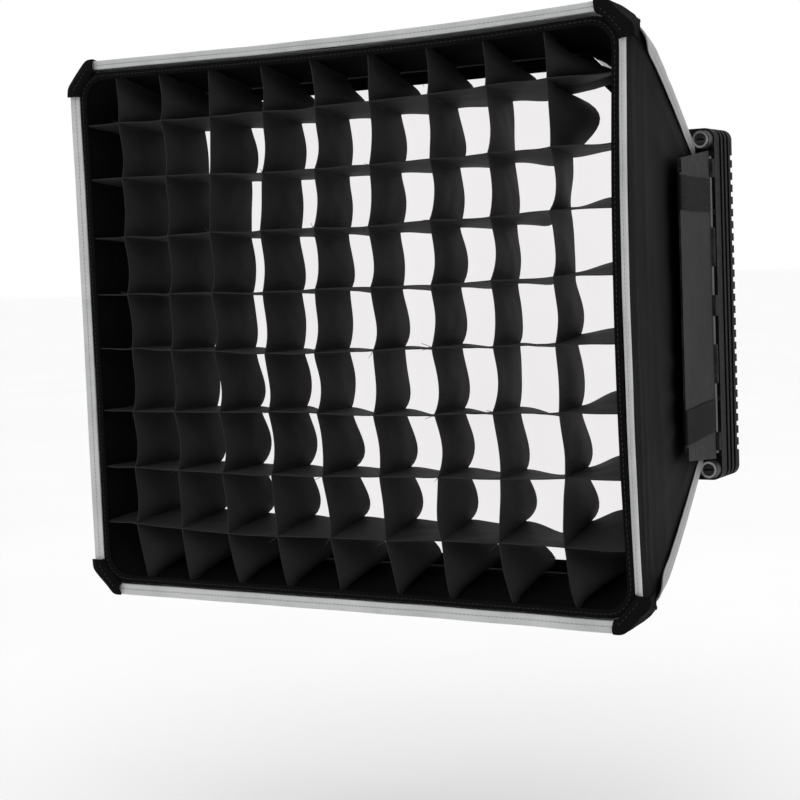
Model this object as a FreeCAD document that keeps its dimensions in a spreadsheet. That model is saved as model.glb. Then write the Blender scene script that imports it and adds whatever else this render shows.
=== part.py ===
import FreeCAD, Part
import math
import os

# Pyramid softbox for a flat panel light.
# Frame: origin at the centre of the seat that the light's front bezel rests on,
# +Y points back towards the light, the box opens towards -Y, +Z is up.

doc = FreeCAD.newDocument("PanelSoftbox")
sheet = doc.addObject("Spreadsheet::Sheet", "Dims")
V = FreeCAD.Vector

DIMS = [
    # rim and shell
    ("rim_wide", 460.0, "outer width of the front rim"),
    ("rim_high", 404.0, "outer height of the front rim"),
    ("rim_front", 262.0, "rim's front plane, ahead of the seat"),
    ("rim_back", 252.0, "back of the rim binding, where the shell starts"),
    ("shell_end", 14.0, "rear edge of the shell, ahead of the seat"),
    ("rear_wide", 346.0, "outer width of the shell at its rear edge"),
    ("rear_high", 244.0, "outer height of the shell at its rear edge"),
    ("cloth", 1.5, "thickness of the shell cloth"),
    ("lining", 0.5, "thickness of the reflective lining"),
    ("bind_wide", 7.0, "width of the rim binding"),
    ("bind_stop", 24.0, "distance from a rim corner to the end of a binding"),
    ("seam_wide", 7.0, "width of the tape on a corner seam"),
    ("seam_proud", 0.5, "how far the seam tape stands proud"),
    ("pocket_proud", 2.0, "how far a corner pocket stands proud of the rim"),
    ("pocket_cut", 20.0, "chamfer across a corner pocket"),
    # rods
    ("rod_rad", 1.5, "radius of a spring rod"),
    ("rod_in_x", 160.0, "rod socket, half spacing across"),
    ("rod_in_z", 109.0, "rod socket, half spacing up"),
    ("rod_out_x", 216.6, "rod tip, half spacing across"),
    ("rod_out_z", 188.6, "rod tip, half spacing up"),
    ("rod_tip_y", 250.0, "rod tip, ahead of the seat"),
    ("socket_rad", 4.5, "radius of a rod socket"),
    ("socket_deep", 16.0, "length of a rod socket"),
    ("cap_rad", 3.0, "radius of a rod tip cap"),
    ("cap_long", 9.0, "length of a rod tip cap"),
    # grid
    ("grid_cols", 10.0, "cells across"),
    ("grid_rows", 9.0, "cells up"),
    ("cell_wide", 44.6, "cell pitch across"),
    ("cell_high", 43.3, "cell pitch up"),
    ("grid_front", 258.0, "front edge of the grid walls"),
    ("grid_back", 212.0, "back edge of the grid walls"),
    ("grid_taper", 0.96, "size of the grid at its back over its size at the front"),
    ("grid_wall", 1.0, "thickness of a grid wall"),
    ("hem_out_x", 222.0, "grid hem, outer half width"),
    ("hem_out_z", 194.0, "grid hem, outer half height"),
    ("hem_in_x", 216.0, "grid hem, inner half width"),
    ("hem_in_z", 188.5, "grid hem, inner half height"),
    ("hem_thick", 2.0, "thickness of the grid hem"),
    ("hem_cut", 18.0, "chamfer of the grid hem's outer corner"),
    ("skirt", 1.2, "thickness of the grid's side skirts"),
    ("skirt_front_x", 221.5, "outer half width of the skirts at the front"),
    ("skirt_front_z", 193.0, "outer half height of the skirts at the front"),
    ("skirt_back_x", 211.5, "outer half width of the skirts at the back"),
    ("skirt_back_z", 178.5, "outer half height of the skirts at the back"),
    ("skirt_stop", 25.0, "skirt's end, from the corner"),
    ("hook_wide", 18.0, "width of the hook tape"),
    ("hook_thick", 1.0, "thickness of the hook tape"),
    # diffuser
    ("diff_y", 206.0, "front face of the diffuser cloth, ahead of the seat"),
    ("diff_half_x", 209.0, "half width of the diffuser"),
    ("diff_half_z", 176.0, "half height of the diffuser"),
    ("diff_cut", 32.0, "corner cut of the diffuser"),
    ("diff_thick", 1.0, "thickness of the diffuser cloth"),
    ("diff_hem", 9.0, "width of the diffuser's hem"),
    ("diff_hem_thick", 1.5, "thickness of the diffuser's hem"),
    ("loop_long", 20.0, "width of the loop tape inside the shell"),
    ("loop_thick", 1.2, "thickness of the loop tape"),
    # adapter
    ("ring_half_x", 187.0, "adapter, outer half width"),
    ("ring_half_z", 136.0, "adapter, outer half height"),
    ("ring_round", 8.0, "adapter, outer corner radius"),
    ("bay_half_x", 180.0, "bay for the light, half width"),
    ("bay_half_z", 129.0, "bay for the light, half height"),
    ("bay_cut", 20.0, "corner cut of the bay"),
    ("ring_back", 33.0, "rear edge of the adapter ring"),
    ("plate_front", 5.5, "front face of the adapter plate"),
    ("pad_thick", 1.5, "thickness of the foam seat"),
    ("window_half_x", 155.0, "light window, half width"),
    ("window_half_z", 104.0, "light window, half height"),
    ("groove_deep", 1.6, "depth of the grooves round the ring"),
    ("groove_wide", 4.0, "width of a groove"),
    ("tooth_pitch", 9.5, "pitch of the notches in the rear edge"),
    ("tooth_deep", 1.4, "depth of a notch"),
    ("tooth_wide", 3.6, "width of a notch"),
    ("collar_wall", 2.0, "thickness of the fabric collar"),
    # latches
    ("latch_x", 179.0, "latch, half spacing across"),
    ("latch_z", 127.0, "latch, half spacing up"),
    ("latch_rad", 7.2, "radius of a latch knob"),
    ("latch_long", 8.0, "length of a latch knob"),
    ("shaft_rad", 2.5, "radius of a latch shaft"),
    ("dog_long", 20.0, "reach of a latch dog"),
    ("dog_wide", 9.0, "width of a latch dog"),
    ("dog_thick", 3.0, "thickness of a latch dog"),
    # leaves
    ("side_hinge_x", 184.0, "hinge axis of a side leaf, from the centre"),
    ("top_hinge_z", 133.0, "hinge axis of the top and bottom leaf"),
    ("hinge_y", 9.0, "hinge axes, ahead of the seat"),
    ("pin_rad", 1.5, "radius of a hinge pin"),
    ("barrel_rad", 3.0, "radius of a leaf's hinge barrel"),
    ("lug_rad", 3.3, "radius of a fixed hinge lug"),
    ("leaf_long", 108.0, "leaf, from hinge axis to front edge"),
    ("leaf_thick", 1.5, "thickness of a leaf"),
    ("side_leaf_back", 118.0, "side leaf, half length at the hinge"),
    ("side_leaf_front", 108.0, "side leaf, half length at the front edge"),
    ("top_leaf_back", 164.0, "top leaf, half length at the hinge"),
    ("top_leaf_front", 150.0, "top leaf, half length at the front edge"),
    ("side_splay", 9.0, "side leaf, angle outward at rest"),
    ("top_splay", 14.0, "top leaf, angle outward at rest"),
    ("strap_wide", 25.0, "width of a strap"),
    ("strap_thick", 1.2, "thickness of a strap"),
    ("side_strap", 84.0, "straps on a side leaf, from the centre"),
    ("top_strap", 100.0, "straps on the top and bottom leaf, from the centre"),
]
VALUES = {}
for n, (alias, value, note) in enumerate(DIMS, start=1):
    sheet.set("A%d" % n, note)
    sheet.set("B%d" % n, str(value))
    sheet.setAlias("B%d" % n, alias)
    VALUES[alias] = value
doc.recompute()


class Q:
    """A length with its value and the expression that drives it."""

    def __init__(self, v, s):
        self.v = float(v)
        self.s = s

    def __add__(a, b):
        b = q(b)
        return Q(a.v + b.v, "(%s + %s)" % (a.s, b.s))

    __radd__ = __add__

    def __sub__(a, b):
        b = q(b)
        return Q(a.v - b.v, "(%s - %s)" % (a.s, b.s))

    def __rsub__(a, b):
        return q(b) - a

    def __mul__(a, b):
        b = q(b)
        return Q(a.v * b.v, "(%s * %s)" % (a.s, b.s))

    __rmul__ = __mul__

    def __truediv__(a, b):
        b = q(b)
        return Q(a.v / b.v, "(%s / %s)" % (a.s, b.s))

    def __neg__(a):
        return Q(-a.v, "(0 - %s)" % a.s)


def q(x):
    return x if isinstance(x, Q) else Q(x, "%.6f" % x)


def D(alias):
    return Q(VALUES[alias], "Dims." + alias)


nodes = {}


def keep(name, obj):
    obj.Label = name
    nodes[name] = obj
    return obj


def bind(obj, prop, value):
    obj.setExpression(prop, q(value).s)


def box(name, x0, x1, y0, y1, z0, z1):
    b = doc.addObject("Part::Box", name)
    bind(b, "Length", q(x1) - q(x0))
    bind(b, "Width", q(y1) - q(y0))
    bind(b, "Height", q(z1) - q(z0))
    bind(b, "Placement.Base.x", x0)
    bind(b, "Placement.Base.y", y0)
    bind(b, "Placement.Base.z", z0)
    return b


def wedge(name, y0, a, y1, b):
    """Tapered block: a and b are (x0, x1, z0, z1) at y0 and at y1."""
    w = doc.addObject("Part::Wedge", name)
    for prop, val in (("Ymin", y0), ("Ymax", y1), ("Xmin", a[0]), ("Xmax", a[1]),
                      ("Zmin", a[2]), ("Zmax", a[3]), ("X2min", b[0]), ("X2max", b[1]),
                      ("Z2min", b[2]), ("Z2max", b[3])):
        bind(w, prop, val)
    return w


def group(name, parts):
    c = doc.addObject("Part::Compound", name)
    c.Links = parts
    return keep(name, c)


def body(name):
    return doc.addObject("PartDesign::Body", name)


def plane(b, role):
    for f in b.Origin.OriginFeatures:
        if f.Role == role:
            return f
    raise RuntimeError(role)


def sketch(b, role, name, offset):
    """Sketch on an origin plane, moved along the plane's normal by offset."""
    sk = b.newObject("Sketcher::SketchObject", name)
    sk.AttachmentSupport = [(plane(b, role), "")]
    sk.MapMode = "FlatFace"
    off = q(offset)
    sk.AttachmentOffset = FreeCAD.Placement(V(0, 0, off.v), FreeCAD.Rotation())
    sk.setExpression("AttachmentOffset.Base.z", off.s)
    return sk


def poly(sk, pts):
    """Closed polygon with every corner held to the sheet."""
    import Sketcher
    n = len(pts)
    pts = [(q(a), q(b)) for a, b in pts]
    ids = []
    for k in range(n):
        a, b = pts[k], pts[(k + 1) % n]
        ids.append(sk.addGeometry(Part.LineSegment(V(a[0].v, a[1].v, 0), V(b[0].v, b[1].v, 0)), False))
    for k in range(n):
        sk.addConstraint(Sketcher.Constraint("Coincident", ids[k], 2, ids[(k + 1) % n], 1))
    for k in range(n):
        a = pts[k]
        i = sk.addConstraint(Sketcher.Constraint("DistanceX", -1, 1, ids[k], 1, a[0].v))
        sk.setExpression("Constraints[%d]" % i, a[0].s)
        i = sk.addConstraint(Sketcher.Constraint("DistanceY", -1, 1, ids[k], 1, a[1].v))
        sk.setExpression("Constraints[%d]" % i, a[1].s)
    return ids


def circle(sk, cx, cy, r):
    import Sketcher
    cx, cy, r = q(cx), q(cy), q(r)
    g = sk.addGeometry(Part.Circle(V(cx.v, cy.v, 0), V(0, 0, 1), r.v), False)
    i = sk.addConstraint(Sketcher.Constraint("Radius", g, r.v))
    sk.setExpression("Constraints[%d]" % i, r.s)
    i = sk.addConstraint(Sketcher.Constraint("DistanceX", -1, 1, g, 3, cx.v))
    sk.setExpression("Constraints[%d]" % i, cx.s)
    i = sk.addConstraint(Sketcher.Constraint("DistanceY", -1, 1, g, 3, cy.v))
    sk.setExpression("Constraints[%d]" % i, cy.s)
    return g


def pad(b, sk, name, length):
    f = b.newObject("PartDesign::Pad", name)
    f.Profile = sk
    bind(f, "Length", length)
    sk.Visibility = False
    return f


def pocket(b, sk, name, length, rev=False):
    f = b.newObject("PartDesign::Pocket", name)
    f.Profile = sk
    bind(f, "Length", length)
    f.Reversed = rev
    sk.Visibility = False
    return f


def rect_pts(hx, hz, cut=None):
    hx, hz = q(hx), q(hz)
    if cut is None:
        return [(-hx, -hz), (hx, -hz), (hx, hz), (-hx, hz)]
    c = q(cut)
    return [(-hx + c, -hz), (hx - c, -hz), (hx, -hz + c), (hx, hz - c),
            (hx - c, hz), (-hx + c, hz), (-hx, hz - c), (-hx, -hz + c)]


def frame_body(name, y_front, y_back, outer, inner):
    """Flat frame between two planes given as distances ahead of the seat."""
    b = body(name)
    sk = sketch(b, "XZ_Plane", name + "_profile", y_back)
    poly(sk, outer)
    poly(sk, inner)
    pad(b, sk, name + "_pad", q(y_front) - q(y_back))
    return keep(name, b)


def slope(front, rear):
    """Half size of the tapering shell at a distance y ahead of the seat."""
    def at(y):
        k = (q(y) - D("shell_end")) / (D("rim_front") - D("shell_end"))
        return q(rear) + (q(front) - q(rear)) * k
    return at


half_x = slope(D("rim_wide") / 2, D("rear_wide") / 2)
half_z = slope(D("rim_high") / 2, D("rear_high") / 2)

# ---------------------------------------------------------------- shell
t = D("cloth")
yf, yr = D("rim_back"), D("shell_end")
sw = D("seam_wide")
fx, fz, rx, rz = half_x(yf), half_z(yf), half_x(yr), half_z(yr)
keep("shell_panel_top", wedge("shell_panel_top", -yf, (-(fx - sw), fx - sw, fz - t, fz),
                              -yr, (-(rx - sw), rx - sw, rz - t, rz)))
keep("shell_panel_bottom", wedge("shell_panel_bottom", -yf, (-(fx - sw), fx - sw, -fz, -(fz - t)),
                                 -yr, (-(rx - sw), rx - sw, -rz, -(rz - t))))
keep("shell_panel_right", wedge("shell_panel_right", -yf, (fx - t, fx, -(fz - sw), fz - sw),
                                -yr, (rx - t, rx, -(rz - sw), rz - sw)))
keep("shell_panel_left", wedge("shell_panel_left", -yf, (-fx, -(fx - t), -(fz - sw), fz - sw),
                               -yr, (-rx, -(rx - t), -(rz - sw), rz - sw)))

# reflective lining, one sheet behind each panel
ti = t + D("lining")
lm = D("seam_wide") + 1
group("silver_lining", [
    wedge("lining_top", -yf, (-(fx - lm), fx - lm, fz - ti, fz - t), -yr, (-(rx - lm), rx - lm, rz - ti, rz - t)),
    wedge("lining_bottom", -yf, (-(fx - lm), fx - lm, -(fz - t), -(fz - ti)), -yr, (-(rx - lm), rx - lm, -(rz - t), -(rz - ti))),
    wedge("lining_right", -yf, (fx - ti, fx - t, -(fz - lm), fz - lm), -yr, (rx - ti, rx - t, -(rz - lm), rz - lm)),
    wedge("lining_left", -yf, (-(fx - t), -(fx - ti), -(fz - lm), fz - lm), -yr, (-(rx - t), -(rx - ti), -(rz - lm), rz - lm)),
])

# seam tapes: the four corner seams, each a strip that closes the corner
sp = D("seam_proud")
tapes = []
for sx in (1, -1):
    for sz in (1, -1):
        def span(h, w, s):
            lo, hi = q(h) - w, q(h) + sp
            return (lo, hi) if s > 0 else (-hi, -lo)
        ax, az = span(fx, sw, sx), span(fz, sw, sz)
        bx, bz = span(rx, sw, sx), span(rz, sw, sz)
        tapes.append(wedge("seam_tape_part", -yf, ax + az, -yr, bx + bz))
group("corner_seam_tapes", tapes)

# rim bindings and corner pockets
yb = D("rim_front")
hx, hz, bw, bs = D("rim_wide") / 2, D("rim_high") / 2, D("bind_wide"), D("bind_stop")
group("rim_bindings", [
    box("binding_top", -(hx - bs), hx - bs, -yb, -yf, hz - bw, hz),
    box("binding_bottom", -(hx - bs), hx - bs, -yb, -yf, -hz, -(hz - bw)),
    box("binding_right", hx - bw, hx, -yb, -yf, -(hz - bs - 1), hz - bs - 1),
    box("binding_left", -hx, -(hx - bw), -yb, -yf, -(hz - bs - 1), hz - bs - 1),
])
pp, pc = D("pocket_proud"), D("pocket_cut")
pockets = []
for sx in (1, -1):
    for sz in (1, -1):
        b = body("corner_pocket_part")
        sk = sketch(b, "XZ_Plane", "corner_pocket_profile", yf)
        pts = [(hx - bs, hz - bw - 0.5), (hx - bs, hz + pp), (hx + pp - pc, hz + pp),
               (hx + pp, hz + pp - pc), (hx + pp, hz - bs - 1), (hx - bw - 0.5, hz - bs - 1)]
        poly(sk, [(a if sx > 0 else -a, c if sz > 0 else -c) for a, c in pts])
        pad(b, sk, "corner_pocket_pad", yb + pp - yf)
        pockets.append(b)
group("corner_pockets", pockets)

# collar of fabric behind the shell, gripped by the adapter plate
frame_body("rear_collar", yr, D("plate_front"), rect_pts(rx, rz), rect_pts(rx - D("collar_wall"), rz - D("collar_wall")))

# ---------------------------------------------------------------- rods
rods, caps, sockets = [], [], []
for sx in (1, -1):
    for sz in (1, -1):
        a = V(sx * VALUES["rod_in_x"], -VALUES["plate_front"] - 1.0, sz * VALUES["rod_in_z"])
        e = V(sx * VALUES["rod_out_x"], -VALUES["rod_tip_y"], sz * VALUES["rod_out_z"])
        d = (e - a)
        n = V(d)
        n.normalize()
        rot = FreeCAD.Rotation(V(0, 0, 1), n)
        rod = doc.addObject("Part::Cylinder", "rod_part")
        bind(rod, "Radius", D("rod_rad"))
        rod.Height = d.Length - 1.0
        rod.Placement = FreeCAD.Placement(a, rot)
        rods.append(rod)
        cap = doc.addObject("Part::Cylinder", "cap_solid")
        bind(cap, "Radius", D("cap_rad"))
        bind(cap, "Height", D("cap_long"))
        cap.Placement = FreeCAD.Placement(a + n * (d.Length - VALUES["cap_long"]), rot)
        bore = doc.addObject("Part::Cylinder", "cap_bore")
        bind(bore, "Radius", D("rod_rad"))
        bind(bore, "Height", D("cap_long") - 1)
        bore.Placement = FreeCAD.Placement(a + n * (d.Length - VALUES["cap_long"]), rot)
        cut = doc.addObject("Part::Cut", "cap_part")
        cut.Base, cut.Tool = cap, bore
        caps.append(cut)
        body_ = doc.addObject("Part::Cylinder", "socket_solid")
        bind(body_, "Radius", D("socket_rad"))
        bind(body_, "Height", D("socket_deep") + 6)
        body_.Placement = FreeCAD.Placement(a - n * 6.0, rot)
        hole = doc.addObject("Part::Cylinder", "socket_bore")
        bind(hole, "Radius", D("rod_rad"))
        bind(hole, "Height", D("socket_deep") + 8)
        hole.Placement = FreeCAD.Placement(a, rot)
        c1 = doc.addObject("Part::Cut", "socket_bored")
        c1.Base, c1.Tool = body_, hole
        trim = box("socket_trim", sx * VALUES["rod_in_x"] - 12.0, sx * VALUES["rod_in_x"] + 12.0,
                   -D("plate_front"), 20.0, sz * VALUES["rod_in_z"] - 12.0, sz * VALUES["rod_in_z"] + 12.0)
        c2 = doc.addObject("Part::Cut", "socket_part")
        c2.Base, c2.Tool = c1, trim
        sockets.append(c2)
group("spring_rods", rods)
group("rod_tip_caps", caps)
group("rod_sockets", sockets)

# ---------------------------------------------------------------- diffuser
dy, dx, dz, dc = D("diff_y"), D("diff_half_x"), D("diff_half_z"), D("diff_cut")
b = body("diffuser_sheet")
sk = sketch(b, "XZ_Plane", "diffuser_profile", dy - D("diff_thick"))
poly(sk, rect_pts(dx, dz, dc))
pad(b, sk, "diffuser_pad", D("diff_thick"))
keep("diffuser_sheet", b)
hemw = D("diff_hem")
frame_body("diffuser_hem", dy + D("diff_hem_thick"), dy, rect_pts(dx, dz, dc),
           rect_pts(dx - hemw, dz - hemw, dc - hemw * 0.586))
# loop tape inside the shell that the diffuser's hem presses onto
ya, yc = dy - D("diff_thick") - 0.5, dy - D("diff_thick") - 0.5 - D("loop_long")
lt = D("loop_thick")
ax_, az_, cx_, cz_ = half_x(ya) - ti, half_z(ya) - ti, half_x(yc) - ti, half_z(yc) - ti
inset = 24.0
group("diffuser_loop_tapes", [
    wedge("loop_top", -ya, (-(ax_ - inset), ax_ - inset, az_ - lt, az_), -yc, (-(cx_ - inset), cx_ - inset, cz_ - lt, cz_)),
    wedge("loop_bottom", -ya, (-(ax_ - inset), ax_ - inset, -az_, -(az_ - lt)), -yc, (-(cx_ - inset), cx_ - inset, -cz_, -(cz_ - lt))),
    wedge("loop_right", -ya, (ax_ - lt, ax_, -(az_ - inset), az_ - inset), -yc, (cx_ - lt, cx_, -(cz_ - inset), cz_ - inset)),
    wedge("loop_left", -ya, (-ax_, -(ax_ - lt), -(az_ - inset), az_ - inset), -yc, (-cx_, -(cx_ - lt), -(cz_ - inset), cz_ - inset)),
])

# ---------------------------------------------------------------- grid
# The walls close in towards the back, as the shell does, by grid_taper.
gf, gb = VALUES["grid_front"], VALUES["grid_back"]
gt, taper = VALUES["grid_wall"], VALUES["grid_taper"]
cw, ch = VALUES["cell_wide"], VALUES["cell_high"]
ncol, nrow = int(VALUES["grid_cols"]), int(VALUES["grid_rows"])
xs = [(i - ncol / 2.0) * cw for i in range(1, ncol)]
zs = [(j - nrow / 2.0) * ch for j in range(1, nrow)]
mid = -(gf + gb) / 2.0
slack = 0.1
wall_x, wall_z = VALUES["skirt_front_x"] - VALUES["skirt"], VALUES["skirt_front_z"] - VALUES["skirt"]
back_x, back_z = VALUES["skirt_back_x"] - VALUES["skirt"], VALUES["skirt_back_z"] - VALUES["skirt"]


def lean(c, y):
    """Where a wall that starts at c on the front edge has got to at y."""
    return c * (1 - (1 - taper) * (y + gf) / (gf - gb))


def slab(y0, y1, x0, x1, z0, z1, u0, u1, w0, w1):
    """Block from x0..x1, z0..z1 at y0 to u0..u1, w0..w1 at y1."""
    return Part.makeWedge(x0, y0, z0, w0, u0, x1, y1, z1, w1, u1)


def half(front, back, y):
    return front + (back - front) * (y + gf) / (gf - gb)


# upright walls are slotted from the back, cross walls from the front
up, across = [], []
for x in xs:
    wall = slab(-gf, -gb, x - gt / 2, x + gt / 2, -wall_z, wall_z,
                lean(x, -gb) - gt / 2, lean(x, -gb) + gt / 2, -back_z, back_z)
    y0, y1 = mid - slack, -gb + 2
    w = gt / 2 + slack
    slots = [slab(y0, y1, x - 14, x + 14, lean(z, y0) - w, lean(z, y0) + w,
                  x - 14, x + 14, lean(z, y1) - w, lean(z, y1) + w) for z in zs]
    up.append(wall.cut(Part.makeCompound(slots)).Solids[0])
for z in zs:
    wall = slab(-gf, -gb, -wall_x, wall_x, z - gt / 2, z + gt / 2,
                -back_x, back_x, lean(z, -gb) - gt / 2, lean(z, -gb) + gt / 2)
    y0, y1 = -gf - 2, mid + slack
    w = gt / 2 + slack
    slots = [slab(y0, y1, lean(x, y0) - w, lean(x, y0) + w, z - 14, z + 14,
                  lean(x, y1) - w, lean(x, y1) + w, z - 14, z + 14) for x in xs]
    across.append(wall.cut(Part.makeCompound(slots)).Solids[0])
for name, walls in (("grid_upright_walls", up), ("grid_cross_walls", across)):
    f = doc.addObject("Part::Feature", name)
    f.Shape = Part.makeCompound(walls)
    keep(name, f)

# hem of the grid, a flat frame that fills the rim, its outer corners cut for the pockets
ho_x, ho_z, hi_x, hi_z = D("hem_out_x"), D("hem_out_z"), D("hem_in_x"), D("hem_in_z")
frame_body("grid_hem", D("grid_front") + D("hem_thick"), D("grid_front"),
           rect_pts(ho_x, ho_z, D("hem_cut") + 2), rect_pts(hi_x, hi_z, D("hem_cut") - 5))
# skirts: the grid's outer walls, sloped like the shell, which carry its hook tape
gs = D("skirt")
fX, fZ, bX, bZ = D("skirt_front_x"), D("skirt_front_z"), D("skirt_back_x"), D("skirt_back_z")
yF, yB = D("grid_front"), D("grid_back")
ex, ez = D("skirt_stop"), D("skirt_stop")


def four(stem, y0, fx0, fz0, y1, bx0, bz0, thick):
    """Four sloped strips just outside the half sizes given at y0 and y1."""
    return [
        wedge(stem + "_top", y0, (-(fX - ex), fX - ex, fz0, fz0 + thick), y1, (-(bX - ex), bX - ex, bz0, bz0 + thick)),
        wedge(stem + "_bottom", y0, (-(fX - ex), fX - ex, -(fz0 + thick), -fz0), y1, (-(bX - ex), bX - ex, -(bz0 + thick), -bz0)),
        wedge(stem + "_right", y0, (fx0, fx0 + thick, -(fZ - ez), fZ - ez), y1, (bx0, bx0 + thick, -(bZ - ez), bZ - ez)),
        wedge(stem + "_left", y0, (-(fx0 + thick), -fx0, -(fZ - ez), fZ - ez), y1, (-(bx0 + thick), -bx0, -(bZ - ez), bZ - ez)),
    ]


group("grid_skirts", four("skirt", -yF, fX - gs, fZ - gs, -yB, bX - gs, bZ - gs, gs))
# hook tape along the outside of the skirts, near the rim
part_way = D("hook_wide") / (yF - yB)
mX, mZ = fX + (bX - fX) * part_way, fZ + (bZ - fZ) * part_way
group("grid_hook_tapes", four("hook", -yF, fX, fZ, -yF + D("hook_wide"), mX, mZ, D("hook_thick")))

# ---------------------------------------------------------------- adapter
rhx, rhz = D("ring_half_x"), D("ring_half_z")
pf, pt_ = D("plate_front"), D("pad_thick")
screw_at = [(183.5, 72.0), (183.5, -72.0), (-183.5, 72.0), (-183.5, -72.0),
            (75.0, 132.5), (-75.0, 132.5), (75.0, -132.5), (-75.0, -132.5)]
corner_edges = lambda shape, hx_, hz_: [
    "Edge%d" % (i + 1) for i, e in enumerate(shape.Edges)
    if len(e.Vertexes) == 2 and abs(abs(e.Vertexes[0].Point.x) - hx_) < 1e-4 and abs(abs(e.Vertexes[0].Point.z) - hz_) < 1e-4
    and abs(abs(e.Vertexes[1].Point.x) - hx_) < 1e-4 and abs(abs(e.Vertexes[1].Point.z) - hz_) < 1e-4
    and abs(e.Vertexes[0].Point.y - e.Vertexes[1].Point.y) > 0.5]


def round_corners(b, base, name):
    doc.recompute()
    f = b.newObject("PartDesign::Fillet", name)
    f.Base = (base, corner_edges(base.Shape, VALUES["ring_half_x"], VALUES["ring_half_z"]))
    bind(f, "Radius", D("ring_round"))
    return f


b = body("adapter_plate")
sk = sketch(b, "XZ_Plane", "plate_profile", pt_)
poly(sk, rect_pts(rhx, rhz))
poly(sk, rect_pts(D("window_half_x"), D("window_half_z")))
p = pad(b, sk, "plate_pad", pf - pt_)
round_corners(b, p, "plate_round")
sk = sketch(b, "XZ_Plane", "plate_shaft_holes", pf)
for sx in (1, -1):
    for sz in (1, -1):
        circle(sk, D("latch_x") * sx, D("latch_z") * sz, D("shaft_rad") + 0.05)
pocket(b, sk, "plate_shaft_pocket", pf)
sk = sketch(b, "XZ_Plane", "plate_screw_holes", pf)
for x, z in screw_at:
    circle(sk, x, z, 1.5)
pocket(b, sk, "plate_screw_pocket", pf)
sk = sketch(b, "XZ_Plane", "plate_screw_seats", pf)
for x, z in screw_at:
    circle(sk, x, z, 2.8)
pocket(b, sk, "plate_seat_pocket", 2.0)
keep("adapter_plate", b)

b = body("adapter_ring_blank")
rb = D("ring_back")
sk = sketch(b, "XZ_Plane", "ring_profile", -rb)
poly(sk, rect_pts(rhx, rhz))
poly(sk, rect_pts(D("bay_half_x"), D("bay_half_z"), D("bay_cut")))
p = pad(b, sk, "ring_pad", rb + pt_)
round_corners(b, p, "ring_round_corners")
sk = sketch(b, "XZ_Plane", "ring_shaft_holes", pt_)
for sx in (1, -1):
    for sz in (1, -1):
        circle(sk, D("latch_x") * sx, D("latch_z") * sz, D("shaft_rad") + 0.05)
pocket(b, sk, "ring_shaft_pocket", rb + pt_ + 1)
sk = sketch(b, "XZ_Plane", "ring_screw_holes", pt_)
for x, z in screw_at:
    circle(sk, x, z, 1.5)
pocket(b, sk, "ring_screw_pocket", 10.0)
# two grooves round the outside
gd, gw = VALUES["groove_deep"], VALUES["groove_wide"]
rx_, rz_ = VALUES["ring_half_x"], VALUES["ring_half_z"]
tools = []
for y in (5.0, 13.0, 21.0):
    outer = Part.makeBox(2 * rx_ + 20, gw, 2 * rz_ + 20, V(-rx_ - 10, y, -rz_ - 10))
    inner = Part.makeBox(2 * (rx_ - gd), gw + 2, 2 * (rz_ - gd), V(-rx_ + gd, y - 1, -rz_ + gd))
    edges = [e for e in inner.Edges if abs(e.Vertexes[0].Point.y - e.Vertexes[1].Point.y) > 0.5]
    inner = inner.makeFillet(VALUES["ring_round"] - gd, edges)
    tools.append(outer.cut(inner))
# notches along the rear edge
tp, td, tw, back = VALUES["tooth_pitch"], VALUES["tooth_deep"], VALUES["tooth_wide"], VALUES["ring_back"]
k = int((rz_ - 16) / tp)
for i in range(-k, k + 1):
    for s in (1, -1):
        tools.append(Part.makeBox(td * 2, 6.0, tw, V(s * rx_ - td, back - 4.0, i * tp - tw / 2)))
k = int((rx_ - 16) / tp)
for i in range(-k, k + 1):
    for s in (1, -1):
        tools.append(Part.makeBox(tw, 6.0, td * 2, V(i * tp - tw / 2, back - 4.0, s * rz_ - td)))
cutter = doc.addObject("Part::Feature", "ring_cutter")
cutter.Shape = Part.makeCompound(tools)
ring = doc.addObject("Part::Cut", "adapter_ring")
ring.Base, ring.Tool = b, cutter
keep("adapter_ring", ring)

frame_body("seat_pad", pt_, 0.0, rect_pts(D("bay_half_x") - 0.5, D("bay_half_z") - 0.5, D("bay_cut") + 1),
           rect_pts(D("window_half_x") + 3, D("window_half_z") + 3))

screws = []
for x, z in screw_at:
    b = body("adapter_screw_part")
    sk = sketch(b, "XZ_Plane", "screw_head_profile", pf - 2.0)
    circle(sk, x, z, 2.8)
    pad(b, sk, "screw_head_pad", 2.0)
    sk = sketch(b, "XZ_Plane", "screw_shank_profile", pt_ - 9.0)
    circle(sk, x, z, 1.5)
    pad(b, sk, "screw_shank_pad", pf - 2.0 - (pt_ - 9.0))
    sk = sketch(b, "XZ_Plane", "screw_drive_profile", pf)
    circle(sk, x, z, 1.2)
    pocket(b, sk, "screw_drive_pocket", 1.2)
    screws.append(b)
group("adapter_screws", screws)

# ---------------------------------------------------------------- latches
def corner_name(sx, sz):
    return ("top" if sz > 0 else "bottom") + ("_right" if sx > 0 else "_left")


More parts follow.
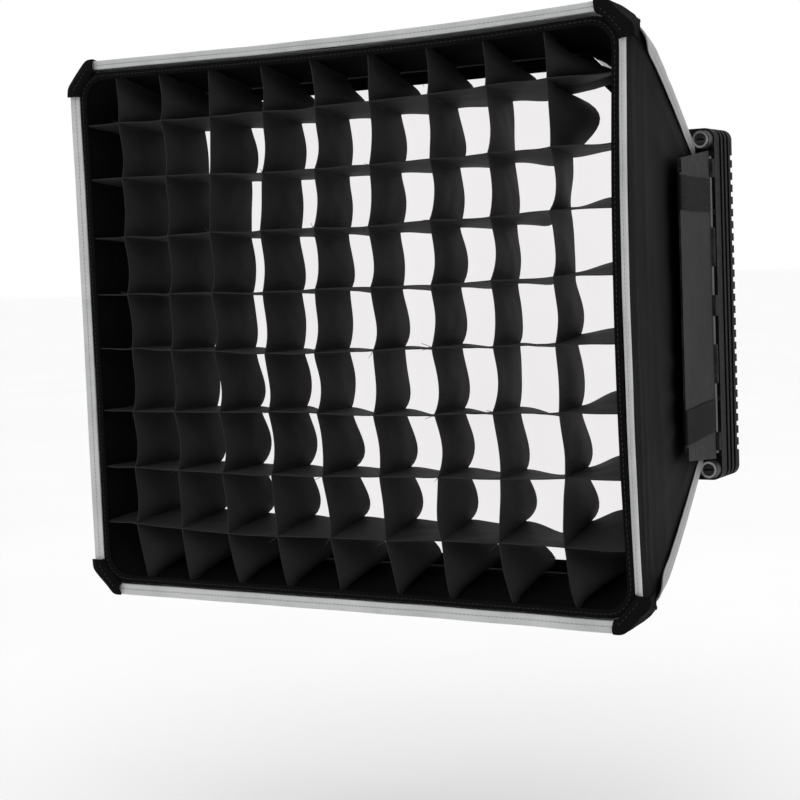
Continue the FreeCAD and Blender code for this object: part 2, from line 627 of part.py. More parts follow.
for sx in (1, -1):
    for sz in (1, -1):
        tag = corner_name(sx, sz)
        cx, cz = D("latch_x") * sx, D("latch_z") * sz
        # knob: a turned disc with a recess for its ring and a finger slot
        b = body("latch_knob_" + tag)
        base = pf + 0.2
        sk = sketch(b, "XZ_Plane", "knob_profile", base)
        circle(sk, cx, cz, D("latch_rad"))
        p = pad(b, sk, "knob_pad", D("latch_long"))
        sk = sketch(b, "XZ_Plane", "knob_ring_seat", base + D("latch_long"))
        circle(sk, cx, cz, D("latch_rad") - 0.8)
        circle(sk, cx, cz, D("latch_rad") - 2.4)
        pocket(b, sk, "knob_ring_pocket", 1.0)
        sk = sketch(b, "XZ_Plane", "knob_slot", base + D("latch_long"))
        poly(sk, [(cx - 3.2, cz - 0.8), (cx + 3.2, cz - 0.8), (cx + 3.2, cz + 0.8), (cx - 3.2, cz + 0.8)])
        pocket(b, sk, "knob_slot_pocket", 2.0)
        keep("latch_knob_" + tag, b)
        # bright ring
        b = body("latch_ring_" + tag)
        sk = sketch(b, "XZ_Plane", "ring_band", base + D("latch_long") - 1.0)
        circle(sk, cx, cz, D("latch_rad") - 0.8)
        circle(sk, cx, cz, D("latch_rad") - 2.4)
        pad(b, sk, "ring_band_pad", 1.4)
        keep("latch_ring_" + tag, b)
        # shaft through plate and ring
        b = body("latch_shaft_" + tag)
        sk = sketch(b, "XZ_Plane", "shaft_profile", -(rb + 0.4))
        circle(sk, cx, cz, D("shaft_rad"))
        pad(b, sk, "shaft_pad", rb + 0.4 + base)
        keep("latch_shaft_" + tag, b)
        # dog behind the light, pointing to the middle at rest
        b = body("latch_dog_" + tag)
        sk = sketch(b, "XZ_Plane", "dog_profile", -(rb + 0.4 + D("dog_thick")))
        r2 = 0.70711
        L, w = D("dog_long"), D("dog_wide") / 2
        ux, uz = -sx * r2, -sz * r2
        vx, vz = -uz, ux
        pts = [(-5.0, -1), (L, -1), (L, 1), (-5.0, 1)]
        poly(sk, [(cx + q(a) * ux + w * (s * vx), cz + q(a) * uz + w * (s * vz)) for a, s in pts])
        p = pad(b, sk, "dog_pad", D("dog_thick"))
        doc.recompute()
        f = b.newObject("PartDesign::Fillet", "dog_round")
        f.Base = (p, ["Edge%d" % (i + 1) for i, e in enumerate(p.Shape.Edges)
                      if abs(e.Vertexes[0].Point.y - e.Vertexes[1].Point.y) > 0.5])
        f.Radius = 3.0
        keep("latch_dog_" + tag, b)

# ---------------------------------------------------------------- leaves
# (name, hinge placement, half length at hinge and front, splay, strap station)
hy = VALUES["hinge_y"]
TURN = {
    "right": (V(VALUES["side_hinge_x"], -hy, 0), FreeCAD.Rotation()),
    "left": (V(-VALUES["side_hinge_x"], -hy, 0), FreeCAD.Rotation(V(0, 1, 0), 180)),
    "top": (V(0, -hy, VALUES["top_hinge_z"]), FreeCAD.Rotation(V(0, 1, 0), -90)),
    "bottom": (V(0, -hy, -VALUES["top_hinge_z"]), FreeCAD.Rotation(V(0, 1, 0), 90)),
}
lugs, pins = [], []
for side in ("top", "bottom", "left", "right"):
    upright = side in ("left", "right")
    la = D("side_leaf_back" if upright else "top_leaf_back")
    lb = D("side_leaf_front" if upright else "top_leaf_front")
    splay = VALUES["side_splay" if upright else "top_splay"]
    st = D("side_strap" if upright else "top_strap")
    base, turn = TURN[side]
    place = FreeCAD.Placement(base, turn.multiply(FreeCAD.Rotation(V(0, 0, 1), splay)))
    still = FreeCAD.Placement(base, turn)
    # leaf in its own frame: hinge along Z, plate towards -Y, outside towards +X
    k0, k1 = (30.0, 60.0) if upright else (45.0, 80.0)
    lt_, ll = D("leaf_thick"), D("leaf_long")
    b = body("leaf_" + side)
    sk = sketch(b, "YZ_Plane", "leaf_profile", -lt_ / 2)
    pts = [(-ll, -lb), (-5.5, -la), (-5.5, -k1), (-1.8, -k1), (-1.8, -k0), (-5.5, -k0),
           (-5.5, k0), (-1.8, k0), (-1.8, k1), (-5.5, k1), (-5.5, la), (-ll, lb)]
    poly(sk, pts)
    pad(b, sk, "leaf_pad", lt_)
    for s in (0, 1):
        z0 = k0 if s == 0 else -k1
        sk = sketch(b, "XY_Plane", "barrel_profile_%d" % s, z0)
        circle(sk, 0.0, 0.0, D("barrel_rad"))
        pad(b, sk, "barrel_pad_%d" % s, k1 - k0)
    sk = sketch(b, "XY_Plane", "barrel_bore", -(la + 5))
    circle(sk, 0.0, 0.0, D("pin_rad") + 0.05)
    pocket(b, sk, "barrel_bore_pocket", la * 2 + 10, rev=True)
    # folded lip along the front edge, turned outward
    sk = sketch(b, "YZ_Plane", "lip_profile", lt_ / 2)
    poly(sk, [(-ll, -(lb - 0.01)), (-ll + 1.5, -lb), (-ll + 1.5, -(st + 14)), (-ll, -(st + 14))])
    pad(b, sk, "lip_pad_a", 1.5)
    sk = sketch(b, "YZ_Plane", "lip_profile_b", lt_ / 2)
    poly(sk, [(-ll, st + 14), (-ll + 1.5, st + 14), (-ll + 1.5, lb), (-ll, lb - 0.01)])
    pad(b, sk, "lip_pad_b", 1.5)
    b.Placement = place
    keep("leaf_" + side, b)
    # straps: webbing looped round the front edge of the leaf
    pair = []
    for s in (1, -1):
        b = body("strap_part")
        sk = sketch(b, "XY_Plane", "strap_profile", st * s - D("strap_wide") / 2)
        a, c = lt_ / 2 + 0.05, lt_ / 2 + 0.05 + D("strap_thick")
        poly(sk, [(a, -9.0), (c, -9.0), (c, -(ll + 1.4)), (-c, -(ll + 1.4)), (-c, -(ll - 45)), (-a, -(ll - 45)),
                  (-a, -(ll + 0.1)), (a, -(ll + 0.1))])
        pad(b, sk, "strap_pad", D("strap_wide"))
        b.Placement = place
        pair.append(b)
    group("straps_" + side, pair)
    # hinge pin, fixed in the lugs
    pin = doc.addObject("Part::Cylinder", "hinge_pin_" + side)
    bind(pin, "Radius", D("pin_rad"))
    bind(pin, "Height", (la - 4) * 2)
    pin.Placement = still.multiply(FreeCAD.Placement(V(0, 0, -(la.v - 4)), FreeCAD.Rotation()))
    keep("hinge_pin_" + side, pin)
    # lugs on the plate
    stations = ((98.0, 112.0), (-8.0, 8.0), (-112.0, -98.0)) if upright else ((130.0, 146.0), (-8.0, 8.0), (-146.0, -130.0))
    for z0, z1 in stations:
        b = body("hinge_lug_part")
        sk = sketch(b, "XY_Plane", "lug_profile", z0)
        poly(sk, [(-2.9, D("hinge_y") - pf), (-2.9, -1.2), (-1.2, -2.9), (1.2, -2.9), (2.9, -1.2), (2.9, D("hinge_y") - pf)])
        circle(sk, 0.0, 0.0, D("pin_rad"))
        pad(b, sk, "lug_pad", z1 - z0)
        b.Placement = still
        lugs.append(b)
group("hinge_lugs", lugs)

# ---------------------------------------------------------------- checks and files
doc.recompute()
bad = []
for o in doc.Objects:
    if "Invalid" in o.State or "Error" in o.State:
        bad.append("%s (%s)" % (o.Name, ",".join(o.State)))
for name, o in nodes.items():
    s = o.Shape
    if s.isNull() or not s.isValid() or not s.Solids or s.Volume <= 0:
        bad.append("shape of " + name)
if bad:
    raise RuntimeError("failed: " + "; ".join(bad))
os.makedirs("parts", exist_ok=True)
for name, o in sorted(nodes.items()):
    o.Shape.exportStep("parts/%s.step" % name)
bb = Part.makeCompound([o.Shape for o in nodes.values()]).BoundBox
print(len(nodes), "nodes, box", [round(v, 1) for v in (bb.XMin, bb.XMax, bb.YMin, bb.YMax, bb.ZMin, bb.ZMax)])
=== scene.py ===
import math
import random

import bpy
import numpy as np
from mathutils import Matrix, Vector


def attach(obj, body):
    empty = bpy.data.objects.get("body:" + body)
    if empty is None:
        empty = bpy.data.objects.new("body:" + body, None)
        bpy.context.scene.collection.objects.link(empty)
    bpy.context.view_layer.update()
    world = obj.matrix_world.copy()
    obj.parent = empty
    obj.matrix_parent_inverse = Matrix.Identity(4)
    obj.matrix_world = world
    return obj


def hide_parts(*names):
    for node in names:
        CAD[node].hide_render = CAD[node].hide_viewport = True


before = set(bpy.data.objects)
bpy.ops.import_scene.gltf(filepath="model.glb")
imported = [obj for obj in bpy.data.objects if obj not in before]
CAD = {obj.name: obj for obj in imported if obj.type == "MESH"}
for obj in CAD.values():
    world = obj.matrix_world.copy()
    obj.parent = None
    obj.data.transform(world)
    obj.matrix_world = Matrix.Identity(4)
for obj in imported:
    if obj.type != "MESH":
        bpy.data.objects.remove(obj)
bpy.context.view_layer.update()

MM = 0.001
PI = math.pi


# ------------------------------------------------------------------ small helpers
def smooth(t):
    t = np.clip(t, 0.0, 1.0)
    return t * t * (3 - 2 * t)


def bell(t, c, w):
    return np.exp(-(((t - c) / w) ** 2))


def ripple(seed, n=7, lo=1.0, hi=6.0):
    """A smooth, repeatable, uneven function of two numbers, about -1 to 1."""
    r = random.Random(seed)
    waves = [(r.uniform(lo, hi) * r.choice((-1, 1)), r.uniform(lo, hi), r.uniform(0, 2 * PI), r.uniform(0.5, 1.0))
             for _ in range(n)]
    total = sum(w[3] for w in waves) ** 0.5 * 1.6

    def f(a, b):
        s = 0.0
        for fa, fb, ph, am in waves:
            s = s + am * np.sin(fa * a + fb * b + ph)
        return s / total
    return f


def make(name, verts, faces, mat, smooth_faces=True, sharp=None):
    me = bpy.data.meshes.new(name)
    me.from_pydata([tuple(v) for v in np.asarray(verts, float) * MM], [], [tuple(int(i) for i in f) for f in faces])
    me.update()
    ob = bpy.data.objects.new(name, me)
    bpy.context.scene.collection.objects.link(ob)
    me.materials.append(mat)
    if smooth_faces:
        me.polygons.foreach_set("use_smooth", [True] * len(me.polygons))
        me.set_sharp_from_angle(angle=math.radians(sharp or 42))
    return ob


def normals(P, closed=False):
    if closed:
        du = np.roll(P, -1, 0) - np.roll(P, 1, 0)
    else:
        du = np.gradient(P, axis=0)
    dv = np.gradient(P, axis=1)
    n = np.cross(du, dv)
    n /= np.linalg.norm(n, axis=2, keepdims=True) + 1e-12
    return n


def cloth(P, thick, off=0.0, closed=False):
    """Closed thin solid round the surface P[u, v]; off moves its middle along the surface normal."""
    n = normals(P, closed)
    M = P + n * off
    A, B = M + n * thick / 2, M - n * thick / 2
    nu, nv = P.shape[:2]
    verts = np.concatenate([A.reshape(-1, 3), B.reshape(-1, 3)])
    base = nu * nv
    iu = range(nu if closed else nu - 1)
    faces = []
    for i in iu:
        k = (i + 1) % nu
        for j in range(nv - 1):
            a, b, c, d = i * nv + j, k * nv + j, k * nv + j + 1, i * nv + j + 1
            faces.append((a, b, c, d))
            faces.append((base + d, base + c, base + b, base + a))
    for i in iu:
        k = (i + 1) % nu
        a, b = i * nv, k * nv
        faces.append((b, a, base + a, base + b))
        a, b = i * nv + nv - 1, k * nv + nv - 1
        faces.append((a, b, base + b, base + a))
    if not closed:
        for j in range(nv - 1):
            a, b = j, j + 1
            faces.append((a, b, base + b, base + a))
            a, b = (nu - 1) * nv + j, (nu - 1) * nv + j + 1
            faces.append((b, a, base + a, base + b))
    return verts, faces


def join(parts):
    verts, faces, n = [], [], 0
    for v, f in parts:
        verts.append(np.asarray(v, float))
        faces += [tuple(i + n for i in q) for q in f]
        n += len(v)
    return np.concatenate(verts), faces


def loft(sections, closed_path=False):
    """Solid through closed sections, each (m, 3)."""
    S = np.asarray(sections, float)
    k, m = S.shape[:2]
    faces = []
    for i in range(k if closed_path else k - 1):
        a0, b0 = i * m, ((i + 1) % k) * m
        for j in range(m):
            q = (j + 1) % m
            faces.append((a0 + j, a0 + q, b0 + q, b0 + j))
    if not closed_path:
        faces.append(tuple(reversed(range(m))))
        faces.append(tuple((k - 1) * m + j for j in range(m)))
    return S.reshape(-1, 3), faces


def tube(points, radius, sides=8, taper=None):
    """Round cord along points (k, 3), closed at its ends."""
    P = np.asarray(points, float)
    T = np.gradient(P, axis=0)
    T /= np.linalg.norm(T, axis=1, keepdims=True) + 1e-12
    up = np.array([0.31, 0.47, 0.83])
    out = []
    for k in range(len(P)):
        a = np.cross(T[k], up)
        a /= np.linalg.norm(a) + 1e-12
        b = np.cross(T[k], a)
        r = radius * (taper[k] if taper is not None else 1.0)
        ang = np.arange(sides) * 2 * PI / sides
        out.append(P[k] + r * (np.cos(ang)[:, None] * a + np.sin(ang)[:, None] * b))
    return loft(out)


def along(points, step, margin=0.0):
    """Points and directions at even steps along a polyline."""
    P = np.asarray(points, float)
    d = np.linalg.norm(np.diff(P, axis=0), axis=1)
    s = np.concatenate([[0], np.cumsum(d)])
    n = max(1, int((s[-1] - 2 * margin) / step))
    out = []
    for k in range(n):
        t = margin + (k + 0.5) * (s[-1] - 2 * margin) / n
        i = min(int(np.searchsorted(s, t, side="right")) - 1, len(P) - 2)
        f = (t - s[i]) / max(d[i], 1e-9)
        out.append((P[i] + (P[i + 1] - P[i]) * f, (P[i + 1] - P[i]) / max(d[i], 1e-9)))
    return out


def stitches(lines, length=2.3, step=3.6, radius=0.27, seed=1):
    """Rows of small raised thread stitches. lines: (points, normal) with one normal, or one per point."""
    r = random.Random(seed)
    parts = []
    ring = np.array([0.0, 0.75, 1.0, 0.75, 0.0])
    at = np.array([-1.0, -0.6, 0.0, 0.6, 1.0])
    for pts, nrm in lines:
        pts = np.asarray(pts, float)
        for p, d in along(pts, step, 1.0):
            if callable(nrm):
                n = np.asarray(nrm(p), float)
            else:
                n = np.asarray(nrm, float)
            n = n / np.linalg.norm(n)
            side = np.cross(d, n)
            L = length * (0.92 + 0.16 * r.random()) / 2
            tilt = (r.random() - 0.5) * 0.16
            d2 = d + side * tilt
            verts = [p + d2 * at[0] * L - n * radius * 0.4]
            for k in (1, 2, 3):
                c = p + d2 * at[k] * L + n * radius * (0.35 if k == 2 else 0.15)
                for a in range(5):
                    th = a * 2 * PI / 5
                    verts.append(c + ring[k] * radius * (math.cos(th) * side + math.sin(th) * n))
            verts.append(p + d2 * at[4] * L - n * radius * 0.4)
            faces = []
            for a in range(5):
                b = (a + 1) % 5
                faces.append((0, 1 + a, 1 + b))
                for k in (0, 1):
                    faces.append((1 + k * 5 + a, 1 + (k + 1) * 5 + a, 1 + (k + 1) * 5 + b, 1 + k * 5 + b))
                faces.append((11 + a, 16, 11 + b))
            parts.append((np.array(verts), faces))
    return join(parts)


# ------------------------------------------------------------------ materials
class Nodes:
    def __init__(self, name):
        self.mat = bpy.data.materials.new(name)
        self.mat.use_nodes = True
        self.t = self.mat.node_tree
        self.t.nodes.clear()
        self.out = self.t.nodes.new("ShaderNodeOutputMaterial")
        self.bsdf = self.t.nodes.new("ShaderNodeBsdfPrincipled")
        self.t.links.new(self.bsdf.outputs[0], self.out.inputs[0])
        self.co = self.t.nodes.new("ShaderNodeTexCoord").outputs["Object"]

    def add(self, kind, **sockets):
        n = self.t.nodes.new(kind)
        for k, v in sockets.items():
            if hasattr(n, k) and k not in n.inputs:
                setattr(n, k, v)
        return n

    def link(self, a, b):
        self.t.links.new(a, b)

    def put(self, node, key, value):
        s = node.inputs[key]
        if isinstance(value, bpy.types.NodeSocket):
            self.link(value, s)
        else:
            s.default_value = value

    def math(self, op, a, b=None, clamp=False):
        n = self.t.nodes.new("ShaderNodeMath")
        n.operation = op
        n.use_clamp = clamp
        self.put(n, 0, a)
        if b is not None:
            self.put(n, 1, b)
        return n.outputs[0]

    def vmath(self, op, a, b=None):
        n = self.t.nodes.new("ShaderNodeVectorMath")
        n.operation = op
        self.put(n, 0, a)
        if b is not None:
            self.put(n, 1, b)
        return n.outputs[0]

    def noise(self, scale, detail=3.0, rough=0.55, vec=None, stretch=None):
        n = self.t.nodes.new("ShaderNodeTexNoise")
        n.inputs["Scale"].default_value = scale
        n.inputs["Detail"].default_value = detail
        n.inputs["Roughness"].default_value = rough
        v = vec or self.co
        if stretch:
            v = self.vmath("MULTIPLY", v, stretch)
        self.link(v, n.inputs["Vector"])
        return n.outputs["Fac"]

    def ramp(self, fac, stops):
        n = self.t.nodes.new("ShaderNodeValToRGB")
        e = n.color_ramp.elements
        while len(e) < len(stops):
            e.new(0.5)
        for k, (pos, col) in enumerate(stops):
            e[k].position = pos
            c = col if hasattr(col, "__len__") else (col, col, col)
            e[k].color = (*c[:3], 1.0)
        self.link(fac, n.inputs[0])
        return n.outputs[0]

    def span(self, v, a, b, lo, hi):
        n = self.t.nodes.new("ShaderNodeMapRange")
        self.put(n, 0, v)
        for k, x in zip((1, 2, 3, 4), (a, b, lo, hi)):
            n.inputs[k].default_value = x
        return n.outputs[0]

    def weave(self, pitch):
        """Over and under of threads pitch metres apart, on a face that looks any way."""
        s = self.t.nodes.new("ShaderNodeVectorMath")
        s.operation = "SCALE"
        self.link(self.co, s.inputs[0])
        s.inputs["Scale"].default_value = PI / pitch
        v = self.vmath("SINE", s.outputs[0])
        x = self.t.nodes.new("ShaderNodeSeparateXYZ")
        self.link(v, x.inputs[0])
        a = self.math("MULTIPLY", x.outputs[0], x.outputs[1])
        b = self.math("MULTIPLY", x.outputs[1], x.outputs[2])
        c = self.math("MULTIPLY", x.outputs[2], x.outputs[0])
        return self.math("ADD", self.math("ADD", a, b), c)

    def mixcol(self, fac, a, b):
        n = self.t.nodes.new("ShaderNodeMix")
        n.data_type = "RGBA"
        self.put(n, 0, fac)
        for key, v in ((6, a), (7, b)):
            if isinstance(v, bpy.types.NodeSocket):
                self.link(v, n.inputs[key])
            else:
                n.inputs[key].default_value = (*v[:3], 1.0)
        return n.outputs[2]

    def bump(self, height, strength, distance, chain=None):
        n = self.t.nodes.new("ShaderNodeBump")
        n.inputs["Strength"].default_value = strength
        n.inputs["Distance"].default_value = distance
        self.link(height, n.inputs["Height"])
        if chain is not None:
            self.link(chain, n.inputs["Normal"])
        return n.outputs[0]

    def done(self, color, rough, normal, **plain):
        self.put(self.bsdf, "Base Color", color)
        self.put(self.bsdf, "Roughness", rough)
        if normal is not None:
            self.link(normal, self.bsdf.inputs["Normal"])
        for k, v in plain.items():
            self.bsdf.inputs[k.replace("_", " ")].default_value = v
        return self.mat


def grey(v, tint=(1.0, 1.0, 1.0)):
    return tuple(v * t for t in tint)


def fabric(name, level, tint=(1, 1, 1), pitch=0.0007, rough=(0.72, 0.9), weave=0.35, lint=0.0, spec=0.25, sheen=0.0, streak=None):
    m = Nodes(name)
    big = m.noise(14.0, 4.0)
    mid = m.noise(120.0, 3.0, stretch=streak or (1, 1, 1))
    w = m.weave(pitch)
    tone = m.math("ADD", m.math("MULTIPLY", big, 0.6), m.math("MULTIPLY", mid, 0.4))
    col = m.ramp(tone, [(0.3, grey(level * 0.68, tint)), (0.52, grey(level, tint)), (0.75, grey(level * 1.42, tint))])
    shade = m.span(w, -1.0, 1.2, 0.0, 1.0)
    col = m.mixcol(shade, tuple(0.72 * level * t for t in tint), col)
    if lint:
        speck = m.noise(900.0, 1.0, 0.4)
        keep = m.span(speck, 0.72, 0.80, 0.0, 0.6)
        col = m.mixcol(keep, col, grey(lint, (1.0, 0.98, 0.95)))
    fine = m.noise(1800.0, 2.0)
    h = m.math("ADD", m.math("MULTIPLY", w, 0.5), m.math("MULTIPLY", fine, 0.6))
    n1 = m.bump(h, weave, 0.00025)
    n2 = m.bump(mid, 0.25, 0.0006, n1)
    r = m.span(m.math("ADD", big, m.math("MULTIPLY", fine, 0.3)), 0.35, 1.0, rough[0], rough[1])
    return m.done(col, r, n2, Specular_IOR_Level=spec, Sheen_Weight=sheen, Sheen_Roughness=0.45)


def metal_paint(name, level, tint=(1, 1, 1), rough=(0.36, 0.52), grain=900.0, wear=0.12, spec=0.5, metallic=0.0, brushed=None):
    m = Nodes(name)
    big = m.noise(22.0, 4.0)
    fine = m.noise(grain, 3.0, 0.6, stretch=brushed or (1, 1, 1))
    geo = m.t.nodes.new("ShaderNodeNewGeometry")
    edge = m.span(geo.outputs["Pointiness"], 0.53, 0.60, 0.0, 1.0)
    scuff = m.math("MULTIPLY", edge, m.span(m.noise(160.0, 4.0, 0.7), 0.42, 0.62, 0.0, 1.0), True)
    col = m.ramp(big, [(0.3, grey(level * 0.82, tint)), (0.55, grey(level, tint)), (0.8, grey(level * 1.2, tint))])
    col = m.mixcol(m.math("MULTIPLY", scuff, 0.65), col, grey(wear, tint))
    n = m.bump(fine, 0.28, 0.00012)
    r = m.span(m.math("ADD", m.math("MULTIPLY", big, 0.5), m.math("MULTIPLY", fine, 0.5)), 0.3, 0.72, rough[0], rough[1])
    return m.done(col, r, n, Specular_IOR_Level=spec, Metallic=metallic)


def bare_metal(name, level, tint=(1, 1, 1), rough=(0.22, 0.42), stretch=(1, 40, 1)):
    m = Nodes(name)
    lines = m.noise(260.0, 3.0, 0.6, stretch=stretch)
    smudge = m.noise(40.0, 4.0)
    col = m.ramp(m.math("ADD", m.math("MULTIPLY", lines, 0.5), m.math("MULTIPLY", smudge, 0.5)),
                 [(0.3, grey(level * 0.75, tint)), (0.7, grey(level * 1.15, tint))])
    n = m.bump(lines, 0.2, 0.00008)
    r = m.span(smudge, 0.3, 0.7, rough[0], rough[1])
    return m.done(col, r, n, Metallic=1.0)


def rubber(name, level, pores=700.0, rough=(0.7, 0.88)):
    m = Nodes(name)
    cell = m.t.nodes.new("ShaderNodeTexVoronoi")
    cell.inputs["Scale"].default_value = pores
    m.link(m.co, cell.inputs["Vector"])
    big = m.noise(30.0, 4.0)
    col = m.ramp(big, [(0.3, grey(level * 0.7)), (0.7, grey(level * 1.3))])
    # Painted shade: the pores, which the bump sinks, are darkened.
    pit = m.span(cell.outputs["Distance"], 0.1, 0.5, 0.55, 1.0)
    col = m.mixcol(pit, grey(level * 0.45), col)
    n = m.bump(cell.outputs["Distance"], 0.45, 0.0003)
    return m.done(col, m.span(big, 0.3, 0.7, *rough), n, Specular_IOR_Level=0.3)


def silver(name, level, ribs_dir=(0.15, 0.15, 0.15), rough=(0.34, 0.5), pitch=0.0006):
    """Grey reflective tape: a fine twill with a soft metallic coating."""
    m = Nodes(name)
    big = m.noise(18.0, 4.0)
    mid = m.noise(240.0, 3.0, stretch=ribs_dir)
    w = m.weave(pitch)
    tone = m.math("ADD", m.math("MULTIPLY", big, 0.5), m.math("MULTIPLY", mid, 0.5))
    cool = (0.985, 1.0, 1.005)
    col = m.ramp(tone, [(0.3, grey(level * 0.84, cool)), (0.52, grey(level, cool)), (0.75, grey(level * 1.12, (1.0, 1.0, 1.0)))])
    dirt = m.span(m.noise(60.0, 5.0, 0.7), 0.56, 0.74, 0.0, 0.28)
    col = m.mixcol(dirt, col, grey(level * 0.55, (1.0, 0.98, 0.95)))
    # Painted shade: the gaps between the threads are darkened.
    col = m.mixcol(m.span(w, -1.0, 0.6, 0.12, 0.0), col, grey(level * 0.5))
    n = m.bump(w, 0.3, 0.0002)
    n = m.bump(mid, 0.3, 0.0004, n)
    return m.done(col, m.span(big, 0.3, 0.7, *rough), n, Metallic=0.25, Specular_IOR_Level=0.5)


M = {}
M["shell"] = fabric("black_shell_nylon", 0.0026, (1.0, 1.02, 1.03), 0.00055, (0.6, 0.76), 0.3, 0.03, 0.03)
M["hem"] = fabric("black_hem_cloth", 0.0040, (1.0, 1.0, 1.0), 0.0006, (0.7, 0.86), 0.45, 0.03, 0.03)
M["pocket"] = fabric("black_pocket_duck", 0.0042, (1.0, 1.0, 1.0), 0.0009, (0.74, 0.92), 0.6, 0.04, 0.04)
M["grid"] = fabric("black_grid_cloth", 0.0165, (1.0, 1.0, 1.03), 0.0005, (0.6, 0.76), 0.35, 0.04, 0.13, 0.015)
M["loop"] = fabric("black_loop_tape", 0.006, (1, 1, 1), 0.0011, (0.85, 0.97), 0.9, 0.07, 0.05, 0.05)
M["webbing"] = fabric("black_webbing", 0.0042, (1.0, 1.0, 1.0), 0.0013, (0.66, 0.84), 0.8, 0.04, 0.06)
M["tape"] = silver("grey_reflective_tape", 0.47)
M["seam_tape"] = silver("grey_seam_tape", 0.29)
M["lining"] = silver("silver_lining_cloth", 0.62, (1, 1, 1), (0.28, 0.42), 0.0008)
M["adapter"] = metal_paint("black_anodised_adapter", 0.0032, (1.0, 1.0, 1.02), (0.45, 0.58), 1100.0, 0.02, 0.05)
M["leaf"] = metal_paint("satin_black_leaf", 0.0060, (1.0, 1.0, 1.0), (0.54, 0.66), 2400.0, 0.03, 0.07)
M["plastic"] = metal_paint("black_moulded_plastic", 0.008, (1.0, 1.0, 1.0), (0.34, 0.5), 700.0, 0.06, 0.25)
M["bright"] = bare_metal("bright_steel", 0.62, (1.0, 0.99, 0.97), (0.2, 0.36))
M["screw"] = bare_metal("dark_screw_steel", 0.12, (1, 1, 1), (0.32, 0.5), (1, 1, 1))
M["rod"] = bare_metal("rod_spring_steel", 0.32, (1, 1, 1), (0.28, 0.45), (30, 1, 30))
M["foam"] = rubber("foam_rubber", 0.012)
M["cap"] = rubber("moulded_rod_cap", 0.016, 1500.0, (0.45, 0.6))
M["thread"] = fabric("black_thread", 0.022, (1, 1, 1), 0.0003, (0.6, 0.8), 0.5, 0.0, 0.3)
M["grey_thread"] = fabric("grey_thread", 0.36, (1, 1, 1), 0.0003, (0.6, 0.8), 0.5, 0.0, 0.3)


def diffusion():
    m = Nodes("white_diffusion_cloth")
    w = m.weave(0.0006)
    big = m.noise(7.0, 3.0)
    crease = m.noise(22.0, 5.0, 0.6, stretch=(1, 1, 0.35))
    tone = m.math("ADD", m.math("MULTIPLY", big, 0.7), m.math("MULTIPLY", crease, 0.3))
    # Painted light: the cloth glows by emission, standing in for light from a lamp behind it shining through; the cloth
    # itself is no lamp. The glow is brighter and darker in patches following the big and crease noise.
    painted_backlight_glow = m.ramp(tone, [(0.3, (0.845, 0.828, 0.826)), (0.55, (0.872, 0.853, 0.856)), (0.8, (0.895, 0.872, 0.88))])
    # thread carries the painted glow, dimmed along the threads of the weave, into the emission colour.
    thread = m.mixcol(m.span(w, -1.0, 0.4, 0.08, 0.0), painted_backlight_glow, (0.74, 0.72, 0.72))
    m.link(thread, m.bsdf.inputs["Emission Color"])
    m.bsdf.inputs["Emission Strength"].default_value = 0.97
    n = m.bump(w, 0.3, 0.0002)
    n = m.bump(crease, 0.25, 0.0015, n)
    # The cloth's own colour is kept dark, so the painted glow sets how bright it looks.
    col = m.ramp(tone, [(0.3, 0.10), (0.8, 0.14)])
    return m.done(col, m.span(big, 0.3, 0.7, 0.7, 0.85), n, Specular_IOR_Level=0.1)


M["diffusion"] = diffusion()

SLOTS = {}


def piece(name, vf, mat, body, replaces=(), sharp=None, smooth_faces=True):
    ob = make(name, vf[0], vf[1], M[mat], smooth_faces, sharp)
    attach(ob, body)
    if replaces:
        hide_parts(*replaces)
    return ob


# ------------------------------------------------------------------ shell
YF, YR = -259.2, -13.0
HXR, HZR = 173.0, 122.0


def hx(y):
    return 173.0 + 57.0 * (-y - 14.0) / 248.0


def hz(y):
    return 122.0 + 80.0 * (-y - 14.0) / 248.0


BOW = {"right": 3.2, "left": 0.3, "top": 3.9, "bottom": 0.6}
SET_IN = {"right": 3.7, "left": 0.3, "top": 0.4, "bottom": 0.0}


def bow(kind, t):
    """How far a rim pulls in between its corners; t runs -1 to 1 along it."""
    b = BOW[kind] * (1 - t ** 2)
    if kind == "top":
        b = b * (1 + 0.25 * t)
    b = b + SET_IN[kind] * smooth((1 - np.abs(t)) / 0.14)
    return b + 0.25 * (1 - t ** 2) * np.sin(3.1 * t + 0.6)


def chamfer(v):
    """Width of the flat that the corner pocket presses into a shell corner near the rim."""
    return 17.0 * np.clip(1 - np.asarray(v) / 0.35, 0, 1) ** 2


def seam_out(v):
    """How far the corner rods bend outward, v from the rim to the rear edge."""
    return 1.4 * np.sin(PI * np.clip(v, 0, 1)) ** 1.1


